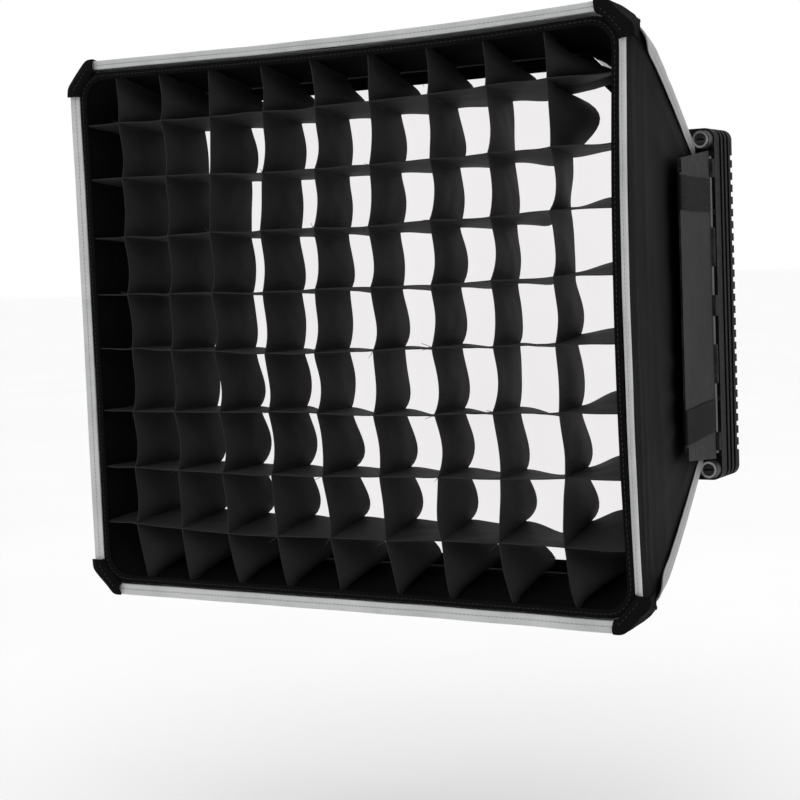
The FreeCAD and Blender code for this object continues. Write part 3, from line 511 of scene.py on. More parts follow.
def folds(u, v, kind):
    """Small wrinkles of the stretched cloth, in mm outward."""
    r = ripple({"right": 3, "left": 8, "top": 13, "bottom": 21}[kind], 7, 1.5, 5.0)
    r2 = ripple({"right": 5, "left": 9, "top": 15, "bottom": 25}[kind], 8, 4.0, 13.0)
    edge = np.clip((1 - np.abs(u)) / 0.12, 0, 1) * np.clip((1 - v) / 0.06, 0, 1)
    w = 0.5 * r(2 * u, 2 * v) + 0.22 * r2(u * 2.2, v * 1.2)
    # creases that run along the rim
    for c, a, k, s in ((0.075, 0.9, 0.016, 0.02), (0.13, 0.7, 0.022, 0.03), (0.20, 0.8, 0.03, 0.035), (0.30, 0.55, 0.04, 0.05)):
        line = c + s * np.sin(1.7 * u + 9 * c)
        w = w + a * bell(v, line, k) * (0.55 + 0.45 * np.sin(3.3 * u + 31 * c))
    # creases that fan out from the rear corners towards the rim
    fans = {"right": [(-1, 5, 1.5), (1, 3, 0.9)], "left": [(-1, 4, 1.3), (1, 4, 1.1)],
            "top": [(-1, 3, 1.0), (1, 3, 1.1)], "bottom": [(-1, 4, 1.2), (1, 4, 1.3)]}[kind]
    for side, count, amp in fans:
        for k in range(count):
            uu = side * (0.80 - 0.09 * k)
            end = side * (0.93 - 0.24 * k)
            line = uu + (end - uu) * (1 - v)
            wide = 0.018 + 0.03 * (1 - v)
            w = w + amp * (0.8 + 0.3 * math.sin(5 * k + side)) * bell(u, line, wide) * np.sin(PI * np.clip(v * 1.02, 0, 1)) ** 0.8 * (0.4 + 0.6 * v)
    return w * edge


def panel(kind, nu=129, nv=81, wrinkle=1.0):
    u = np.linspace(-1, 1, nu)[:, None] * np.ones((1, nv))
    v = np.ones((nu, 1)) * np.linspace(0, 1, nv)[None, :]
    y = YF + (YR - YF) * v
    out = seam_out(v) * 0.7
    near = np.abs(u) ** 7
    side = kind in ("right", "left")
    ha, hb = (hx(y), hz(y)) if side else (hz(y), hx(y))
    pull = bow(kind, u)
    a = ha - 0.7 + near * out - pull * (1 - v) ** 1.6 - 1.2 * (1 - u ** 4) * np.sin(PI * v)
    a = a + folds(u, v, kind) * wrinkle
    b = u * (hb - 0.4 + out * np.abs(u) ** 5)
    c = chamfer(v)
    far = np.abs(b).max(axis=0, keepdims=True)
    past = np.clip((np.abs(b) - (far - c)) / np.maximum(c, 0.001), 0, 1) * (c > 0.01)
    a = a - 0.5 * c * past ** 1.25
    b = np.where(past > 0, np.sign(b) * (far - c + 0.5 * c * past), b)
    s = 1 if kind in ("right", "top") else -1
    if side:
        P = np.stack([s * a, y, b], -1)
    else:
        P = np.stack([b, y, s * a], -1)
    n = normals(P)
    mid = n[nu // 2, nv // 2]
    want = np.array([s, 0, 0]) if side else np.array([0, 0, s])
    if mid @ want < 0:
        P = P[::-1]
    return P


PANEL = {k: panel(k) for k in ("right", "left", "top", "bottom")}
FLAT_SHELL = {"right": (0.402, 0.251, 0.0812), "left": (0.402, 0.251, 0.0812),
              "top": (0.457, 0.257, 0.1036), "bottom": (0.457, 0.257, 0.1036)}
lining_nodes = ("silver_lining",)
for k, P in PANEL.items():
    ob = piece("shell_" + k, cloth(P, 1.1, 0.1), "shell", "root", ("shell_panel_" + k,))
    w, l, a = FLAT_SHELL[k]
    ob = piece("lining_" + k, cloth(P[3:-3:2, 2::2], 0.5, -1.1), "lining", "root", lining_nodes)

# front hem of the shell: a turned edge behind the binding
hems, hem_lines = [], []
for k, P in PANEL.items():
    n = normals(P)
    Q = P[2:-2, 0:6]
    hems.append(cloth(Q + normals(P)[2:-2, 0:6] * (1.15 - 0.3 * np.linspace(0, 1, 6) ** 4)[None, :, None], 0.7))
    hem_lines.append((P[14:-14, 4] + n[14:-14, 4] * 1.5, n[64, 4]))
ob = piece("shell_rim_hem", join(hems), "hem", "root")
piece("shell_hem_stitches", stitches(hem_lines, 2.4, 3.6, 0.25, 4), "thread", "root")

# ------------------------------------------------------------------ rim binding
def binding_section():
    """A folded tape with a groove along its middle, tilted so that its outer edge leads. (n outward, y)."""
    pts = []
    for c, r, a0, a1, k in ((-1.95, 2.0, 10, 168, 9), (-5.55, 1.75, 14, 178, 9)):
        for i in range(k):
            a = math.radians(a0 + (a1 - a0) * i / (k - 1))
            n = c + r * math.cos(a) * 0.98
            pts.append((n, -261.35 - 0.32 * n - r * math.sin(a) * 0.36 + 0.0))
    pts += [(-7.3, -257.9), (-6.4, -257.6), (-3.6, -258.5), (-1.2, -259.0), (-0.1, -259.4), (0.02, -260.4)]
    return np.array([(n, max(y, -261.9 + 0.34 * -n)) for n, y in pts])


SEC = binding_section()
bind_lines = []
for k in ("top", "bottom", "left", "right"):
    horizontal = k in ("top", "bottom")
    s = 1 if k in ("top", "right") else -1
    half = 212.0 if horizontal else 184.0
    wide = {"right": 0.76, "top": 0.86, "left": 0.98, "bottom": 1.08}[k]
    t = np.linspace(-half, half, 121)
    f = ripple(31 + len(k), 6, 0.02, 0.11)
    sections = []
    for q in t:
        wob = 0.22 * f(q, 0.0)
        n = (202.0 + 1.2) - bow(k, q / 230.0) + wob if horizontal else 230.0 - bow(k, q / 202.0) + wob
        if horizontal:
            pts = [(q, y, s * (n + a * wide)) for a, y in SEC]
        else:
            pts = [(s * (n + a * wide), y, q) for a, y in SEC]
        sections.append(pts)
    if (s > 0) == horizontal:
        sections = sections[::-1]
    piece("rim_binding_" + k, loft(sections), "tape", "root", ("rim_bindings",), 50)
    row = []
    for q in t:
        n = 203.2 - bow(k, q / 230.0) if horizontal else 230.0 - bow(k, q / 202.0)
        a = -3.8 * wide
        row.append((q, -260.55, s * (n + a)) if horizontal else (s * (n + a), -260.55, q))
    bind_lines.append((row, (0, -1, 0)))
piece("rim_binding_stitches", stitches(bind_lines, 2.0, 3.1, 0.24, 9), "grey_thread", "root")

# ------------------------------------------------------------------ corner pockets
def corner_path(y, off, cut, reach, ns=45):
    """Outline of the pocket at depth y, from the top edge round to the side edge, as (x, z)."""
    out = seam_out((y - YF) / (YR - YF)) * 0.7
    X, Z = hx(y) + off + out, hz(y) + off + out
    P = [(X - reach, Z), (X - cut, Z), (X, Z - cut), (X, Z - reach)]
    s = np.linspace(0, 1, ns)
    d = np.array([0, 0.2, 0.8, 1.0])
    x = np.interp(s, d, [p[0] for p in P])
    z = np.interp(s, d, [p[1] for p in P])
    for _ in range(14):
        x[1:-1] = (x[:-2] + 2 * x[1:-1] + x[2:]) / 4
        z[1:-1] = (z[:-2] + 2 * z[1:-1] + z[2:]) / 4
    return np.stack([x, z], -1)


def pocket_surface(sx, sz, seed):
    ns = 45
    r = ripple(seed, 7, 1.0, 5.0)
    s = np.linspace(0, 1, ns)
    back = 10.0 + 22.0 * np.exp(-(((s - 0.5) / 0.24) ** 2))
    inner = np.stack([np.interp(s, [0, 0.15, 0.85, 1], [206.0, 209.5, 220.5, 222.0]),
                      np.interp(s, [0, 0.15, 0.85, 1], [195.2, 194.0, 181.0, 177.0])], -1)
    for _ in range(6):
        inner[1:-1] = (inner[:-2] + 2 * inner[1:-1] + inner[2:]) / 4
    rows = []
    front = corner_path(-262.0, 1.1, 19.0, 26.0, ns)
    for a in np.linspace(0, 1, 13):
        p = inner + (front - inner) * a
        y = -262.1 - 1.5 * math.sin(PI * min(1, a * 1.08)) ** 0.7 - 0.35 * np.array([float(r(q * 3, a * 3)) for q in s])
        if a == 0:
            y = y + 1.6
        rows.append(np.stack([p[:, 0], y, p[:, 1]], -1))
    for dy in np.linspace(0.05, 1, 12):
        y = -261.6 + dy * back
        pts = np.zeros((ns, 3))
        for i in range(ns):
            d = dy * back[i]
            cut = max(8.0, 19.0 - 0.42 * d)
            c = corner_path(-261.6 + d, 1.5 + 0.9 * dy + 0.2 * float(r(s[i] * 4, dy * 3 + 5)), cut, 25.0, ns)
            pts[i] = (c[i, 0], -261.6 + d, c[i, 1])
        rows.append(pts)
    P = np.stack(rows, 1)
    P[..., 0] *= sx
    P[..., 2] *= sz
    return P


pocket_lines = []
for sx in (1, -1):
    for sz in (1, -1):
        tag = ("top" if sz > 0 else "bottom") + ("_right" if sx > 0 else "_left")
        P = pocket_surface(sx, sz, 40 + sx + 3 * sz)
        n = normals(P)
        if n[22, 4] @ np.array([0, -1, 0]) < 0:
            P = P[::-1]
            n = normals(P)
        parts = [cloth(P, 1.3)]
        # rolled edges
        parts.append(tube(P[:, -1] + n[:, -1] * 0.25, 0.95, 8))
        parts.append(tube(P[:, 0] + n[:, 0] * 0.2, 0.9, 8))
        ob = piece("corner_pocket_" + tag, join(parts), "pocket", "root", ("corner_pockets",), 60)
        pocket_lines.append((P[3:-3, -3] + n[3:-3, -3] * 0.8, lambda p, n=n, P=P: n[np.argmin(((P[:, -3] - p) ** 2).sum(1)), -3]))
        pocket_lines.append((P[4:-4, 4] + n[4:-4, 4] * 0.8, (0, -1, 0)))
piece("corner_pocket_stitches", stitches(pocket_lines, 2.2, 3.3, 0.27, 12), "thread", "root")

# ------------------------------------------------------------------ corner seam tapes
seam_lines = []
for sx in (1, -1):
    for sz in (1, -1):
        tag = ("top" if sz > 0 else "bottom") + ("_right" if sx > 0 else "_left")
        v = np.linspace(0.10, 1.0, 90)
        y = YF + (YR - YF) * v
        out = seam_out(v) * 0.7
        c = chamfer(v)
        X, Z = hx(y) + out - 0.5 * c, hz(y) + out - 0.5 * c
        lay = np.radians(45.0 * smooth(c / 9.0))
        r = ripple(60 + sx + 3 * sz, 6, 2.0, 9.0)
        sec = [(1, 10.2, 0.0), (1, 9.6, 0.35), (1, 7.0, 0.75), (1, 4.6, 0.8), (1, 2.6, 0.95), (1, 1.1, 1.1), (1, 0.0, 0.95),
               (0, 0.2, 1.0), (0, 1.3, 1.15), (0, 3.0, 0.95), (0, 5.2, 0.7), (0, 7.2, 0.55), (0, 7.8, 0.15)]
        P = np.zeros((len(v), len(sec), 3))
        for j, (leg, d, h) in enumerate(sec):
            wob = 0.18 * r(v * 6, j * 0.12)
            t = -PI / 2 + lay if leg else PI - lay
            m = lay if leg else PI / 2 - lay
            P[:, j, 0] = sx * (X + d * np.cos(t) + (h + wob) * np.cos(m))
            P[:, j, 1] = y
            P[:, j, 2] = sz * (Z + d * np.sin(t) + (h + wob) * np.sin(m))
        n = normals(P)
        if n[40, 3] @ np.array([sx, 0, 0]) < 0:
            P = P[::-1]
            n = normals(P)
        piece("seam_tape_" + tag, cloth(P, 0.8, 0.25), "seam_tape", "root", ("corner_seam_tapes",), 70)
        for j, side in ((2, (sx, 0, 0)), (10, (0, 0, sz))):
            seam_lines.append((P[2:-2, j] + n[2:-2, j] * 0.75, side))
piece("seam_tape_stitches", stitches(seam_lines, 2.1, 3.2, 0.22, 14), "grey_thread", "root")

# ------------------------------------------------------------------ outlines
def outline(hx_, hz_, r, bowx=0.0, bowz=0.0, step=4.0, cut=False):
    """Closed outline with rounded or cut corners, sides drawn in by bowx and bowz."""
    pts = []
    for cx, cz, a0 in ((hx_ - r, hz_ - r, 0), (-hx_ + r, hz_ - r, 90), (-hx_ + r, -hz_ + r, 180), (hx_ - r, -hz_ + r, 270)):
        if cut:
            a = math.radians(a0)
            p0 = (cx + r * math.cos(a), cz + r * math.sin(a))
            p1 = (cx + r * math.cos(a + PI / 2), cz + r * math.sin(a + PI / 2))
            pts += [p0, p1]
        else:
            for k in range(9):
                a = math.radians(a0 + 90 * k / 8)
                pts.append((cx + r * math.cos(a), cz + r * math.sin(a)))
    pts = np.array(pts)
    return pts, bowx, bowz


def sample(o, n):
    pts, bx, bz = o
    P = np.concatenate([pts, pts[:1]])
    d = np.linalg.norm(np.diff(P, axis=0), axis=1)
    s = np.concatenate([[0], np.cumsum(d)])
    t = np.linspace(0, s[-1], n, endpoint=False)
    x, z = np.interp(t, s, P[:, 0]), np.interp(t, s, P[:, 1])
    mx, mz = np.abs(pts[:, 0]).max(), np.abs(pts[:, 1]).max()
    if hasattr(bx, "__len__"):
        bx = np.where(x > 0, bx[0], bx[1])
    if hasattr(bz, "__len__"):
        bz = np.where(z > 0, bz[0] * (1 + 0.45 * x / mx), bz[1])
    xx = x * (1 - bx / mx * (1 - (z / mz) ** 2))
    zz = z * (1 - bz / mz * (1 - (x / mx) ** 2))
    return np.stack([xx, zz], -1)


def matched(pairs, n):
    """Samples each outline at n points, evenly along its length, with sample()."""
    out = []
    for o in pairs:
        out.append(sample(o, n))
    return out


BAND = [(0.0, 0.5), (0.025, 0.16), (0.10, 0.0), (0.3, -0.10), (0.55, -0.14), (0.8, -0.06), (0.93, 0.03), (0.985, 0.2),
        (1.0, 0.5), (0.985, 0.85), (0.9, 1.0), (0.5, 1.0), (0.1, 1.0), (0.025, 0.85)]


def ring_band(outer, inner, yf, yb, n=320, wob=None, sec=BAND):
    O, I = sample(outer, n), sample(inner, n)
    S = np.zeros((n, len(sec), 3))
    idx = np.arange(n)
    for j, (a, b) in enumerate(sec):
        p = I + (O - I) * a
        y = yf + (yb - yf) * b
        if wob is not None:
            y = y + wob(idx / n, a)
        S[:, j, 0], S[:, j, 1], S[:, j, 2] = p[:, 0], y, p[:, 1]
    v, f = loft(S, True)
    return v, [tuple(reversed(q)) for q in f], S


# ------------------------------------------------------------------ grid hem and skirt
BX, BZ = (4.9, 0.6), (4.2, 0.7)
hem_out = outline(221.9, 193.9, 20.0, BX, BZ)
hem_in = outline(216.2, 188.5, 18.0, BX, BZ)
rh = ripple(71, 8, 2.0, 14.0)
v_, f_, S = ring_band(hem_out, hem_in, -260.0, -258.2, 420, lambda s, a: 0.32 * rh(s * 2 * PI * 2, a * 1.5))
grid_hem = piece("grid_hem_band", (v_, f_), "hem", "grid", ("grid_hem",), 60)
lines = []
for a in (0.5,):
    O, I = sample(hem_out, 420), sample(hem_in, 420)
    p = I + (O - I) * a
    row = [(x, -260.45, z) for x, z in p]
    lines.append((row + row[:1], (0, -1, 0)))
piece("grid_hem_stitches", stitches(lines, 2.4, 3.5, 0.27, 17), "thread", "grid")


def skirt_at(w, off=0.0, n=420):
    """Grid skirt's outline at w from 0 at the front to 1 at the back."""
    X = 221.5 - 10.0 * w + off - 0.7
    Z = 193.0 - 14.5 * w + off - 0.7
    q = max(0.0, 1 - w)
    return sample(outline(X, Z, 22.0 + 24.0 * w, (4.8 * q, 0.6 * q), (4.1 * q, 0.7 * q)), n)


rs = ripple(81, 9, 3.0, 16.0)
ws = np.linspace(0, 1.06, 16)
P = np.zeros((420, 16, 3))
for j, w in enumerate(ws):
    c = skirt_at(w)
    s = np.arange(420) / 420 * 2 * PI
    r = np.linalg.norm(c, axis=1, keepdims=True)
    c = c - c / r * (0.9 + 0.9 * rs(s * 2, w * 2))[:, None] * math.sin(PI * min(1.0, w * 0.9 + 0.05))
    P[:, j, 0], P[:, j, 1], P[:, j, 2] = c[:, 0], -258.2 + 46.0 * w, c[:, 1]
skirt = piece("grid_skirt", cloth(P, 0.9, 0.0, True), "hem", "grid", ("grid_skirts",), 60)
# hook tape, four lengths on the outside of the skirt
tapes = []
for a0, a1 in ((0.045, 0.185), (0.30, 0.455), (0.545, 0.685), (0.80, 0.955)):
    i = np.arange(int(a0 * 420), int(a1 * 420))
    T = np.zeros((len(i), 6, 3))
    for j, w in enumerate(np.linspace(0.01, 0.39, 6)):
        c = skirt_at(w, 1.25)[i]
        T[:, j, 0], T[:, j, 1], T[:, j, 2] = c[:, 0], -258.0 + 46.0 * w, c[:, 1]
    tapes.append(cloth(T, 0.9))
ob = piece("grid_hook_tape", join(tapes), "loop", "grid", ("grid_hook_tapes",), 60)
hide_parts("grid_hook_tapes")

# ------------------------------------------------------------------ grid walls
NC, NR = 10, 9
COLX = [(-223 + 44.6 * i) for i in range(11)]
seen = {
    1: {2: (-147, 154), 3: (-102, 153), 4: (-55, 153), 5: (-11, 153), 7: (80, 154), 8: (124, 156), 9: (169, 157)},
    2: {1: (-186, 114), 2: (-145, 113), 3: (-104, 112), 4: (-58, 110), 5: (-13, 110), 6: (32, 110), 7: (80, 111), 8: (124, 112), 9: (170, 113)},
    3: {2: (-146, 69), 3: (-107, 70), 4: (-62, 69), 5: (-16, 69), 6: (29, 68), 7: (78, 70), 8: (124, 70), 9: (168, 72)},
    4: {1: (-187, 27), 2: (-147, 26), 3: (-108, 26), 4: (-62, 25), 5: (-17, 26), 6: (29, 26), 7: (77, 26), 8: (123, 28), 9: (169, 29)},
    5: {1: (-185, -14), 2: (-148, -16), 3: (-108, -17), 4: (-63, -19), 5: (-20, -19), 6: (29, -18), 7: (76, -16), 8: (123, -16), 9: (169, -15)},
    6: {1: (-187, -62), 2: (-148, -62), 3: (-106, -62), 4: (-62, -61), 5: (-20, -62), 6: (27, -63), 7: (76, -62), 8: (121, -60), 9: (170, -60)},
    7: {1: (-188, -105), 2: (-147, -106), 3: (-106, -107), 4: (-62, -107), 5: (-18, -107), 6: (30, -106), 7: (77, -105), 8: (125, -105), 9: (173, -103)},
    8: {1: (-189, -148), 2: (-146, -150), 3: (-103, -152), 4: (-59, -152), 5: (-13, -151), 6: (33, -151), 7: (78, -149), 8: (122, -148), 9: (171, -149)},
}
seen[1][1], seen[1][6] = (-187, 155), (34, 153)
seen[3][1] = (-187, 70)
F = np.zeros((11, 10, 2))
B = np.zeros((11, 10, 2))
back_z = {1: 147.0, 2: 106.0, 3: 64.5, 4: 23.5, 5: -18.5, 6: -62.0, 7: -105.5, 8: -142.5}
back_x = {1: -179.0, 2: -141.5, 3: -103.8, 4: -59.4, 5: -17.3, 6: 27.2, 7: 74.9, 8: 119.5, 9: 163.1}
rj = random.Random(5)
for i in range(11):
    for j in range(1, 9):
        if 1 <= i <= 9:
            F[i, j] = seen[j][i]
            B[i, j] = (back_x[i] + (seen[j][i][0] - seen[4][i][0]) * 0.9, back_z[j] + (seen[j][i][1] - seen[j].get(5, seen[j][i])[1]) * 0.7)
        else:
            s = 1 if i == 10 else -1
            k = 9 if i == 10 else 1
            zf = seen[j][k][1]
            F[i, j] = (s * (220.2 - BX[0 if s > 0 else 1] * (1 - (zf / 193.0) ** 2)), zf)
            B[i, j] = (s * 210.2, back_z[j] + 1.0)
for i in range(1, 10):
    for j, e, q in ((0, 1, 1), (9, 8, -1)):
        xf = F[i, e, 0] + (8.5 + rj.uniform(-2, 2) if j == 9 else rj.uniform(-2.5, 1.0))
        xb = B[i, e, 0] + (3.0 + rj.uniform(-2, 2) if j == 9 else rj.uniform(-1.0, 2.0))
        F[i, j] = (xf, q * (191.9 - BZ[0 if q > 0 else 1] * (1 - (xf / 221.0) ** 2)))
        B[i, j] = (xb, q * 176.6)
# how far a wall bulges sideways in each cell, at its front and its back edge, in mm
front_b = {(7, 1): 1.0, (8, 1): 3.0, (9, 1): 0.5, (7, 2): 4.0, (8, 2): 2.5, (9, 2): 5.0, (7, 3): 3.5, (8, 3): 4.2, (9, 3): 3.0,
           (7, 5): 4.5, (8, 5): 4.0, (9, 5): 1.0, (7, 6): 4.7, (8, 6): 1.5, (9, 6): 1.0, (7, 7): -2.5, (8, 7): 0.5, (9, 7): -1.5,
           (3, 1): 0.5, (4, 1): 2.5, (5, 1): 3.5, (3, 2): 0.3, (4, 2): 0.5, (5, 2): 3.0}
back_b = {(6, 1): 4.8, (7, 1): 5.5, (8, 1): 0.6, (9, 1): 21.0, (6, 2): 4.4, (7, 2): 3.5, (8, 2): 2.7, (9, 2): -1.0,
          (6, 3): 2.6, (7, 3): 6.0, (8, 3): 2.5, (9, 3): 0.5, (6, 5): 4.8, (7, 5): 5.0, (8, 5): 1.6, (9, 5): 4.0,
          (6, 6): 7.5, (7, 6): 6.6, (8, 6): 4.0, (9, 6): 6.0, (6, 7): 7.8, (7, 7): 7.2, (8, 7): 9.0, (9, 7): 10.0,
          (2, 1): 1.0, (3, 1): 6.5, (4, 1): 4.5, (2, 2): 8.0, (3, 2): 0.4, (4, 2): 3.0, (9, 8): 36.0, (9, 0): 38.0, (8, 0): 20.0}
typical_f = [1.0, 1.8, 2.2, 2.8, 3.0, 3.6, 3.4, 1.2, -1.0]
typical_b = [16.0, 4.2, 3.8, 4.2, 4.4, 5.0, 7.2, 8.6, 21.0]
# how far a cross wall arches up between two uprights at its back edge; cell 9 is the one by the right skirt
arch_b = {(9, 2): 4.0, (9, 3): 17.0, (9, 4): 14.0, (9, 5): 11.0, (9, 6): 14.0, (9, 7): 17.0, (9, 8): 20.0, (9, 1): 3.0,
          (8, 1): -2.5, (8, 2): -4.5, (7, 2): -2.5, (8, 3): -3.5, (7, 3): -2.5, (8, 6): -6.5, (8, 7): -4.0, (8, 8): -7.5}
typical_arch = [0, -1.5, -1.5, -2.0, -2.5, -3.2, -5.0, -3.0, -2.0]


# how much higher than a straight line the back edge runs in the cell by the right skirt: left end, peak, right end
LIFT = {1: (1, 11, 17), 3: (8, 14, 6), 4: (5, 13, 12), 5: (4.5, 10, 8), 6: (1, 12, 2), 7: (1, 12, 5), 8: (2, 12, 4)}


def hump(s, peak):
    """0 at both ends, 1 at peak."""
    a = peak / (1 - peak)
    return (s ** a) * (1 - s) / ((peak ** a) * (1 - peak)) if a >= 1 else s * (1 - s) ** (1 / a) / (peak * (1 - peak) ** (1 / a))


STEP, DEPTH = 12, 11
tt = np.linspace(0, 1, DEPTH)


def upright(i):
    pts = []
    r = ripple(100 + i, 8, 2.0, 9.0)
    rr = random.Random(900 + i)
    for j in range(9):
        fb = front_b.get((i, j), typical_f[j] + rr.uniform(-1.1, 1.1))
        bb = back_b.get((i, j), typical_b[j] + rr.uniform(-1.8, 1.8))
        pk_f, pk_b = 0.60 + rr.uniform(-0.06, 0.05), (0.66 if j > 0 else 0.70) + rr.uniform(-0.06, 0.06)
        if (i, j) == (9, 1):
            pk_b = 0.42
        for k in range(STEP if j < 8 else STEP + 1):
            s = k / STEP
            f = F[i, j] + (F[i, j + 1] - F[i, j]) * s
            b = B[i, j] + (B[i, j + 1] - B[i, j]) * s
            hf, hb = float(hump(s, pk_f)), float(hump(s, pk_b))
            row = []
            for t in tt:
                amp = fb * hf * (1 - t) + bb * hb * t + 1.6 * math.sin(PI * t) * hf * (1 if j > 3 else 0.7)
                x = f[0] + (b[0] - f[0]) * t + amp + 0.45 * float(r(j + s, t * 2)) * (4 * s * (1 - s))
                z = f[1] + (b[1] - f[1]) * t
                row.append((x, -258.2 + 46.2 * t + 0.5 * math.sin(2 * PI * s) * t, z))
            pts.append(row)
    return np.array(pts)


def crosswall(j):
    pts = []
    r = ripple(200 + j, 8, 2.0, 9.0)
    rr = random.Random(700 + j)
    for i in range(10):
        ab = arch_b.get((i, j), typical_arch[j] + rr.uniform(-1.0, 1.0))
        af = rr.uniform(-0.9, 0.3)
        pk = 0.70 + rr.uniform(-0.05, 0.04)
        for k in range(STEP if i < 9 else STEP + 1):
            s = k / STEP
            f = F[i, j] + (F[i + 1, j] - F[i, j]) * s
            b = B[i, j] + (B[i + 1, j] - B[i, j]) * s
            h = float(hump(s, pk))
            row = []
            for t in tt:
                edge_b = ab * h
                if j in LIFT and i == 9:
                    lo, pe, hi = LIFT[j]
                    edge_b = lo + (hi - lo) * s + (pe - lo - (hi - lo) * pk) * h
                elif j in LIFT and i == 8:
                    edge_b = ab * h + LIFT[j][0] * float(smooth((s - 0.5) / 0.5))
                amp = af * h * (1 - t) + edge_b * t ** 1.2 + 0.4 * float(r(i + s, t * 2)) * (4 * s * (1 - s))
                z = f[1] + (b[1] - f[1]) * t + amp
                x = f[0] + (b[0] - f[0]) * t
                row.append((x, -258.2 + 46.2 * t, z))
            pts.append(row)
    return np.array(pts)


for i in range(1, 10):
    P = upright(i)
    ob = piece("grid_upright_%d" % i, cloth(P, 0.75), "grid", "grid", ("grid_upright_walls",), 60)
for j in range(1, 9):
    P = crosswall(j)
    ob = piece("grid_cross_%d" % j, cloth(P, 0.75), "grid", "grid", ("grid_cross_walls",), 60)

# loose thread ends where the walls cross
ends = []
rt = random.Random(77)
for i in range(1, 10):
    for j in range(1, 9):
        for _ in range(rt.choice((0, 1, 1, 2))):
            x, z = F[i, j]
            p = np.array([x, -258.6, z])
            d = np.array([rt.uniform(-1, 0.4), rt.uniform(-0.5, 0.2), rt.uniform(-1, 0.5)])
            d /= np.linalg.norm(d)
            L = rt.uniform(2.5, 7.5)
            side = np.array([rt.uniform(-1, 1), rt.uniform(-1, 0), rt.uniform(-1, 1)])
            t = np.linspace(0, 1, 6)[:, None]
            ends.append(tube(p + d * L * t + side * 1.4 * (t ** 2), 0.26, 5, np.linspace(1, 0.55, 6)))
piece("grid_thread_ends", join(ends), "thread", "grid")

# ------------------------------------------------------------------ diffuser
nz, nx = 89, 105
zz = np.linspace(-175.6, 175.6, nz)
half_w = np.where(np.abs(zz) < 144.0, 208.6, 208.6 - (np.abs(zz) - 144.0))
u = np.linspace(-1, 1, nx)
X = half_w[:, None] * u[None, :]
Z = zz[:, None] * np.ones((1, nx))
rd = ripple(301, 9, 1.0, 5.0)
rd2 = ripple(303, 9, 6.0, 22.0)
inside = np.clip((208.6 - np.abs(X)) / 30.0, 0, 1) * np.clip((175.6 - np.abs(Z)) / 30.0, 0, 1)
edge = np.clip(1 - np.minimum(208.6 - np.abs(X), 175.6 - np.abs(Z)) / 55.0, 0, 1)
Yd = -205.5 + inside * (0.7 * rd(X / 60, Z / 60)) + 0.45 * edge * inside * rd2(X / 60, Z / 60)
P = np.stack([X, Yd, Z], -1)
ob = piece("diffuser_cloth", cloth(P[:, ::-1], 0.5), "diffusion", "diffuser", ("diffuser_sheet",))
d_out = outline(208.8, 175.8, 32.0, cut=True)
d_in = outline(199.9, 166.9, 26.7, cut=True)
rq = ripple(311, 8, 2.0, 14.0)
v_, f_, S = ring_band(d_out, d_in, -207.6, -206.0, 360, lambda s, a: 0.15 * rq(s * 4 * PI, a))
ob = piece("diffuser_hem_band", (v_, f_), "hem", "diffuser", ("diffuser_hem",), 60)
O, I = sample(d_out, 360), sample(d_in, 360)
row = [(x, -207.95, z) for x, z in I + (O - I) * 0.5]
piece("diffuser_hem_stitches", stitches([(row + row[:1], (0, -1, 0))], 2.3, 3.4, 0.25, 19), "thread", "diffuser")
# fuzz of the hook tape along the hem's inner edge
fuzz = []
rf = random.Random(41)
for k in range(330):
    side = rf.choice(("r", "r", "r", "l", "t", "b"))
    if side in "rl":
        z = rf.uniform(-120, 150)
        x = 199.9 if side == "r" else -199.9
        d = np.array([-1 if side == "r" else 1, rf.uniform(-0.6, 0.1), rf.uniform(-0.7, 0.7)])
    else:
        x = rf.uniform(-165, 165)
        z = 166.9 if side == "t" else -166.9
        d = np.array([rf.uniform(-0.7, 0.7), rf.uniform(-0.6, 0.1), -1 if side == "t" else 1])
    d = d / np.linalg.norm(d)
    p = np.array([x, rf.uniform(-207.4, -206.4), z]) - d * 0.4
    L = rf.uniform(0.9, 2.6)
    t = np.linspace(0, 1, 4)[:, None]
    fuzz.append(tube(p + d * L * t + np.array([0, -0.5, rf.uniform(-0.7, 0.7)]) * t ** 2, 0.17, 4, np.linspace(1, 0.5, 4)))
piece("diffuser_hem_fuzz", join(fuzz), "loop", "diffuser")

# loop tape inside the shell
tapes = []
for k, P in PANEL.items():
    n = normals(P)
    v0, v1 = int(80 * (257 - 204.5) / 244.0), int(80 * (257 - 184.0) / 244.0) + 1
    nu = P.shape[0]
    cut = 8
    tapes.append(cloth((P - n * 2.15)[cut:-cut, v0:v1], 1.0))
ob = piece("diffuser_loop_tape", join(tapes), "loop", "root", ("diffuser_loop_tapes",), 60)

# ------------------------------------------------------------------ rear collar
rc = ripple(401, 9, 4.0, 20.0)
P = np.zeros((400, 9, 3))
for j, w in enumerate(np.linspace(0, 1, 9)):
    c = sample(outline(172.6 + 0.5 * math.sin(PI * w), 121.6 + 0.5 * math.sin(PI * w), 5.0), 400)
    s = np.arange(400) / 400 * 2 * PI
    r = np.linalg.norm(c, axis=1, keepdims=True)
    c = c - c / r * (0.35 + 0.35 * rc(s * 3, w * 2))[:, None]
    P[:, j, 0], P[:, j, 1], P[:, j, 2] = c[:, 0], -15.5 + 9.8 * w, c[:, 1]
ob = piece("rear_collar_band", cloth(P, 1.4, 0.0, True), "hem", "root", ("rear_collar",), 60)

# ------------------------------------------------------------------ straps on the leaves
PLACE = {}
for side, base, turn, splay in (("right", (184, -9, 0), 0, 9), ("left", (-184, -9, 0), 180, 9),
                                ("top", (0, -9, 133), -90, 14), ("bottom", (0, -9, -133), 90, 14)):
    PLACE[side] = Matrix.Translation(Vector(base)) @ Matrix.Rotation(math.radians(turn), 4, "Y") @ Matrix.Rotation(math.radians(splay), 4, "Z")


